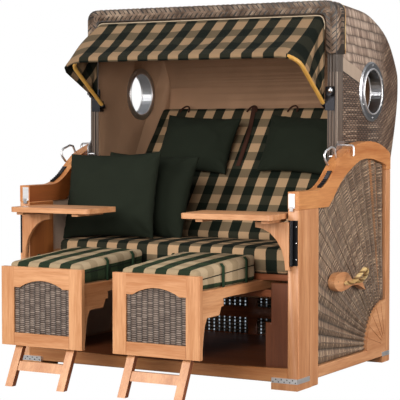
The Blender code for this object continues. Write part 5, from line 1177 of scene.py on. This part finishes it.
def bow_place(x, out):
    """Point of the bow's line at a place across the chair and a distance from its pivots."""
    return Vector((x, *(BOW_PIVOT + (BOW_BAR - BOW_PIVOT).normalized() * out)))


def awning_lines():
    """Lines of the cloth from its left foot to its right, each with its seam end, bow end, share on the roof,
    side, way out along the gusset and metres along the cloth."""
    high = (BOW_BAR - BOW_PIVOT).length - BOW_BEND
    gussets, roof = [], []
    for side in (-1, 1):
        part = []
        for k in range(GUSSET_LINES):
            g = k / GUSSET_LINES
            front = bow_place(side * BOW_HALF, GUSSET_START + (high - GUSSET_START) * g)
            rear = Vector((side * SEAM_HALF, SEAM_Y, SEAM_FOOT + (SEAM_TOP - SEAM_CORNER - SEAM_FOOT) * g))
            part.append((rear, front, 0.0, side, g, side * (SEAM_HALF + GUSSET_RUN * (1 - g))))
        gussets.append(part)
    for k in range(ROOF_LINES + 1):
        m = -1 + 2 * k / ROOF_LINES
        x = m * BOW_HALF
        past = max(0.0, abs(x) - (BOW_HALF - BOW_BEND))
        front = bow_place(x, high + math.sqrt(max(BOW_BEND ** 2 - past ** 2, 0.0)))
        turn = max(0.0, abs(m) * SEAM_HALF - SEAM_HALF + SEAM_CORNER) / SEAM_CORNER
        drop = SEAM_CORNER * (1 - math.sqrt(max(1 - turn ** 2, 0.0)))
        level = min(1.0, (BOW_HALF - abs(x)) / 0.055)
        roof.append((Vector((m * SEAM_HALF, SEAM_Y, SEAM_TOP - drop)), front, level * level * (3 - 2 * level),
                     1 if m > 0 else -1, 1.0, m * SEAM_HALF))
    return gussets[0] + roof + gussets[1][::-1]


def awning_point(t, rear, front, level, side, g, run):
    """Point of the cloth at a share t of the way from the rim to the bow, with its sag and ripples."""
    hang = 1 - level
    sag = math.sin(math.pi * t)
    edge = (0.005 + 0.057 * g) if side < 0 else 0.004
    end = front + Vector((0.0, -0.004, 0.0115)) * level + Vector((side * edge, 0.007, -0.006)) * hang
    place = rear.lerp(end, t)
    ripple = 0.0018 * math.sin(run * 46 + 1.4 * math.sin(run * 19)) + 0.0026 * math.sin(run * 17 + t * 6.5)
    place.z += (ripple - 0.009) * sag * level
    bulge = 0.016 * sag * g if side < 0 else -0.010 * sag
    bulge += 0.0055 * math.sin(g * 19 + t * 5.0) * sag * min(1.0, g * 4 + 0.2)
    place.x += side * bulge * hang
    return at(*(place + Vector((0.0, 0.588, -0.809)) * (0.012 * sag * hang * (1 - g))))


def build_awning():
    lines = awning_lines()
    points, uvs = [], []
    for i in range(AWNING_ROWS + 1):
        t = i / AWNING_ROWS
        points.append([awning_point(t, *line) for line in lines])
        uvs.append([(line[-1] - PATTERN_X, t * ROOF_RUN - PATTERN_Y) for line in lines])
    for step, (dy, dz) in enumerate(HEM_PLACES):
        row = []
        for flat, (rear, front, level, side, g, run) in zip(points[AWNING_ROWS], lines):
            wrapped = at(*(front + Vector((0.0, dy + 0.0006 * math.sin(run * 120 + step), dz))))
            tucked = flat + Vector((-side * 0.0012, 0.0, -0.0006)) * (step + 1)
            row.append(tucked.lerp(wrapped, level))
        points.append(row)
        uvs.append([(line[-1] - PATTERN_X, ROOF_RUN - PATTERN_Y + 0.0055 * (step + 1)) for line in lines])
    cloth = cloth_grid("awning_sheet", points, check_roof, uvs, 0.0014)
    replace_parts(cloth, "awning_cloth")
    area = 0.0
    for one, other in zip(points, points[1:]):
        for a, b, c, d in zip(one, one[1:], other[1:], other):
            area += ((b - a).cross(d - a)).length / 2 + ((b - c).cross(d - c)).length / 2
    tuple(at(0, 0.455, 1.50))
    tuple(at(0, 0.225, 1.355))
    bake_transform(cloth)
    seam = [at(*(line[0] + Vector((0, -0.002, 0.001)))) for line in lines if line[0].z > 1.46]
    tubes("awning_piping", [seam], 0.0026, piping_cloth, "hood")
    for word, side in SIDES:
        foot = [at(*bow_place(side * BOW_HALF, out)) for out in (-0.006, 0.016)]
        tubes(f"bow_end_{word}", [foot], 0.0108, black_steel, "awning", 14)


# Fittings

LINING_THICKNESS, LINING_SEAM_X, LINING_START = 0.0455, 0.5775, 0.56
STRAP_LOW, STRAP_HIGH = 0.0278, 0.0480
SIDE_STRAP_INNER, SIDE_STRAP_OUTER = 0.6802, 0.6818
ROPE_FACE, ROPE_Y, ROPE_Z, ROPE_HALF = 0.6973, 0.452, 0.398, 0.047
ROPE_LAY, STRAND_OFFSET, STRAND_RADIUS = 0.034, 0.0054, 0.0043

# The handle over the rack, as y, z
HANDLE_CURVE = ((0.318, 0.893), (0.292, 0.915), (0.284, 0.935), (0.300, 0.951), (0.352, 0.966),
                (0.378, 0.962), (0.392, 0.940), (0.402, 0.918))


def build_lining_seam(word, side):
    """Seam piping in the corner between a side of the hood and its back."""
    line = []
    for one, other in zip(HOOD_CURVE[:-3], HOOD_CURVE[1:-2]):
        run = Vector(other) - Vector(one)
        inward = Vector((run.y, -run.x)).normalized() * LINING_THICKNESS
        places = [Vector(one).lerp(Vector(other), step / 4) + inward for step in range(4)]
        line += [at(side * (LINING_SEAM_X - 0.001), *place) for place in places if place.x > LINING_START]
    tubes(f"lining_seam_{word}", [line], 0.0022, lining, "hood", 6)


def ring_places(x, radius, count, start=0.0):
    """Places on a circle round a porthole's middle."""
    return [(x, PORTHOLE.x + radius * math.cos(a), PORTHOLE.y + radius * math.sin(a))
            for a in (math.radians(start + 360 * k / count) for k in range(count))]


def build_hood_fittings(word, side):
    """Bright rings and screws of a porthole, and the knob of the awning's plate."""
    rings = [[at(*place) for place in ring_places(side * x, radius, 60)]
             for x, radius in ((0.6325, 0.0995), (0.5755, 0.1000))]
    tubes(f"porthole_ring_{word}", rings, 0.0042, pale_steel, "hood", 10, True)
    studs(f"porthole_screws_{word}", ring_places(side * 0.6310, 0.116, 6, 30), (side, 0, 0), 0.0042, 0.0022,
          dull_steel, "hood")
    studs(f"porthole_inner_screws_{word}", ring_places(side * 0.5762, 0.113, 6), (-side, 0, 0), 0.0040, 0.002,
          dull_steel, "hood")
    knob = [at(side * (0.600 + 0.003 * k), 0.4560 - 0.0045 * k, 1.2050) for k in range(5)]
    tubes(f"awning_knob_{word}", [knob], 0.0105, chrome, "hood", 14)


def build_base_fittings(word, side):
    """Table plates, hinge screws, foot straps, the fish's eye and the handle over the rack."""
    studs(f"hinge_screws_{word}", [(side * 0.668, -0.0043, z) for z in (0.525, 0.590, 0.655)], (0, -1, 0),
          0.0035, 0.0016, chrome, "base")
    for name, low, high, skin, bevel in (
            ("table_stop", (0.634, -0.0035, 0.728), (0.662, 0.0, 0.786), pale_steel, 0.0006),
            ("table_catch", (0.640, -0.0075, 0.716), (0.656, -0.0035, 0.736), dull_steel, 0.0006),
            ("foot_strap_front", (0.565, -0.0125, STRAP_LOW), (0.6815, 0.0002, STRAP_HIGH),
             pale_steel, 0.0004),
            ("foot_strap_side", (SIDE_STRAP_INNER, -0.0125, STRAP_LOW), (SIDE_STRAP_OUTER, 0.10, STRAP_HIGH),
             pale_steel, 0.0003),
            ("foot_strap_rear", (SIDE_STRAP_INNER, 0.845, STRAP_LOW), (SIDE_STRAP_OUTER, 0.928, STRAP_HIGH),
             pale_steel, 0.0003)):
        block(f"{name}_{word}", (side * low[0], *low[1:]), (side * high[0], *high[1:]), skin, "base",
              bevel)
    holes = [(side * (0.572 + 0.0125 * k), -0.0127, 0.0335 + 0.0090 * (k % 2)) for k in range(9)]
    studs(f"strap_screws_{word}", holes, (0, -1, 0), 0.0026, 0.001, black_steel, "base")
    studs(f"fish_eye_{word}", [(side * 0.6977, 0.338, 0.408)], (side, 0, 0), 0.0022, 0.0006, black_steel,
          "base")
    handle = [at(side * 0.656, *place) for place in HANDLE_CURVE]
    tubes(f"rack_handle_{word}", [handle], 0.0050, pale_steel, "base", 10)


def build_rope(word, side):
    """Three-strand rope on the CAD loop's own line."""
    face = side * ROPE_FACE
    line = [at(face, ROPE_Y - ROPE_HALF, ROPE_Z)]
    for step in range(61):
        t = math.pi * step / 60
        out = 0.010 + 0.062 * max(math.sin(t), 0.0) ** 0.8
        line.append(at(face + side * out, ROPE_Y - ROPE_HALF * math.cos(t) * (1 + 0.25 * math.sin(t)),
                       ROPE_Z + 0.058 * math.sin(t) ** 2))
    line.append(at(face, ROPE_Y + ROPE_HALF, ROPE_Z))
    dense = [one.lerp(other, k / 4) for one, other in zip(line, line[1:]) for k in range(4)] + line[-1:]
    strands = [[], [], []]
    run = 0.0
    for i, (point, one, other) in enumerate(path_frames(dense)):
        if i:
            run += (point - dense[i - 1]).length
        for k, strand_line in enumerate(strands):
            a = 2 * math.pi * (run / ROPE_LAY + k / 3)
            strand_line.append(point + (one * math.cos(a) + other * math.sin(a)) * STRAND_OFFSET)
    made = tubes(f"rope_strands_{word}", strands[:2], STRAND_RADIUS, rope_skin, "base")
    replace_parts(made, f"rope_loop_{word}")
    tubes(f"rope_dark_strand_{word}", strands[2:], STRAND_RADIUS, rope_shade, "base")


paint_cad_pieces()
build_inner_faces()
build_wicker()
build_cushions()
for word, side in SIDES:
    build_footrest_front(word)
    build_footrest_pad(word, side)
build_back_straps()
build_awning()
for word, side in SIDES:
    build_lining_seam(word, side)
    build_hood_fittings(word, side)
    build_base_fittings(word, side)
    build_rope(word, side)


# Camera and light

CAMERA_PLACE, CAMERA_DOWN, CAMERA_TURN = (3.3370, -5.4721, 1.0607), 2.8126, 29.5949
FOCAL_PIXELS, PICTURE_PIXELS, SENSOR = 1536.92, 400, 36.0
FLOOR_REACH, FLOOR_DROP = 14, 0.0005
LIGHTS = (("key", (-2.2, -5.0, 2.8), (0, 0, 0.8), (2.4, 1.8), 210.0, (1.0, 0.97, 0.93)),
          ("fill_right", (5.0, 0.3, 2.0), (0.5, 0.2, 0.8), (2.2, 2.2), 190.0, (1.0, 0.95, 0.90)),
          ("front", (1.5, -5.4, 1.6), (0, 0, 0.8), (2.4, 1.6), 190.0, (1.0, 0.96, 0.91)),
          ("top", (0.5, 0.0, 4.2), (0, 0, 0.8), (2.4, 2.4), 25.0, (1.0, 1.0, 1.0)))


def build_camera(scene):
    camera = bpy.data.objects.new("camera", bpy.data.cameras.new("camera"))
    scene.collection.objects.link(camera)
    camera.location = at(*CAMERA_PLACE)
    camera.rotation_euler = (math.radians(90 - CAMERA_DOWN), 0.0, math.radians(CAMERA_TURN))
    camera.data.sensor_width = SENSOR
    camera.data.lens = FOCAL_PIXELS / PICTURE_PIXELS * SENSOR
    camera.data.clip_end = 60.0
    scene.camera = camera


def build_lights(scene):
    for name, place, aim, size, power, colour in LIGHTS:
        light = bpy.data.lights.new(name, "AREA")
        light.shape = "RECTANGLE"
        light.size, light.size_y = size
        light.energy = power
        light.color = colour
        made = bpy.data.objects.new(name, light)
        scene.collection.objects.link(made)
        made.location = place
        made.rotation_euler = (Vector(aim) - Vector(place)).to_track_quat("-Z", "Y").to_euler()


def build_world(scene):
    """White to the camera; elsewhere a studio, dark below and lit in upright stripes above."""
    scene.world = bpy.data.worlds.new("studio")
    scene.world.use_nodes = True
    tree = Tree(scene.world.node_tree)
    background = tree.tree.nodes["Background"].inputs
    x, y, z = tree.split(tree.node("TexCoord", "Generated"))
    rise = tree.ramp(z.scaled(0.5, 0.5), (0.0, 0.015), (0.44, 0.02), (0.50, 0.07), (0.56, 0.34), (0.80, 0.52),
                     (1.0, 0.60))
    stripes = (x.math("ARCTAN2", y) * 7.0).math("SINE").scaled(0.45, 0.75)
    tree.put(background["Color"], (1.0, 1.0, 1.0))
    seen = tree.node("LightPath", "Is Camera Ray")
    tree.put(background["Strength"], tree.between(seen, rise * stripes, 1.0))


def build_floor():
    """Floor that is white to the camera and grey to everything else."""
    corners = [(x * FLOOR_REACH, y * FLOOR_REACH, 0) for x, y in ((-1, -1), (1, -1), (1, 1), (-1, 1))]
    skin = Shader("studio_floor", 0.9)
    skin.put(skin.surface.inputs["Base Color"], (0.22, 0.21, 0.20))
    glow = skin.node("Emission", Color=(1.0, 1.0, 1.0))
    shown = skin.node("MixShader", i0=skin.node("LightPath", "Is Camera Ray"),
                      i1=Value(skin, skin.surface.outputs[0]), i2=glow)
    skin.put(skin.tree.nodes["Material Output"].inputs["Surface"], shown)
    mesh = bpy.data.meshes.new("studio_floor")
    mesh.from_pydata(corners, [], [(0, 1, 2, 3)])
    mesh.materials.append(skin.material)
    floor = place_mesh("studio_floor", mesh)
    floor.location.z = -FLOOR_DROP


scene = bpy.context.scene
scene.view_settings.view_transform = "Standard"
build_camera(scene)
build_lights(scene)
build_world(scene)
build_floor()
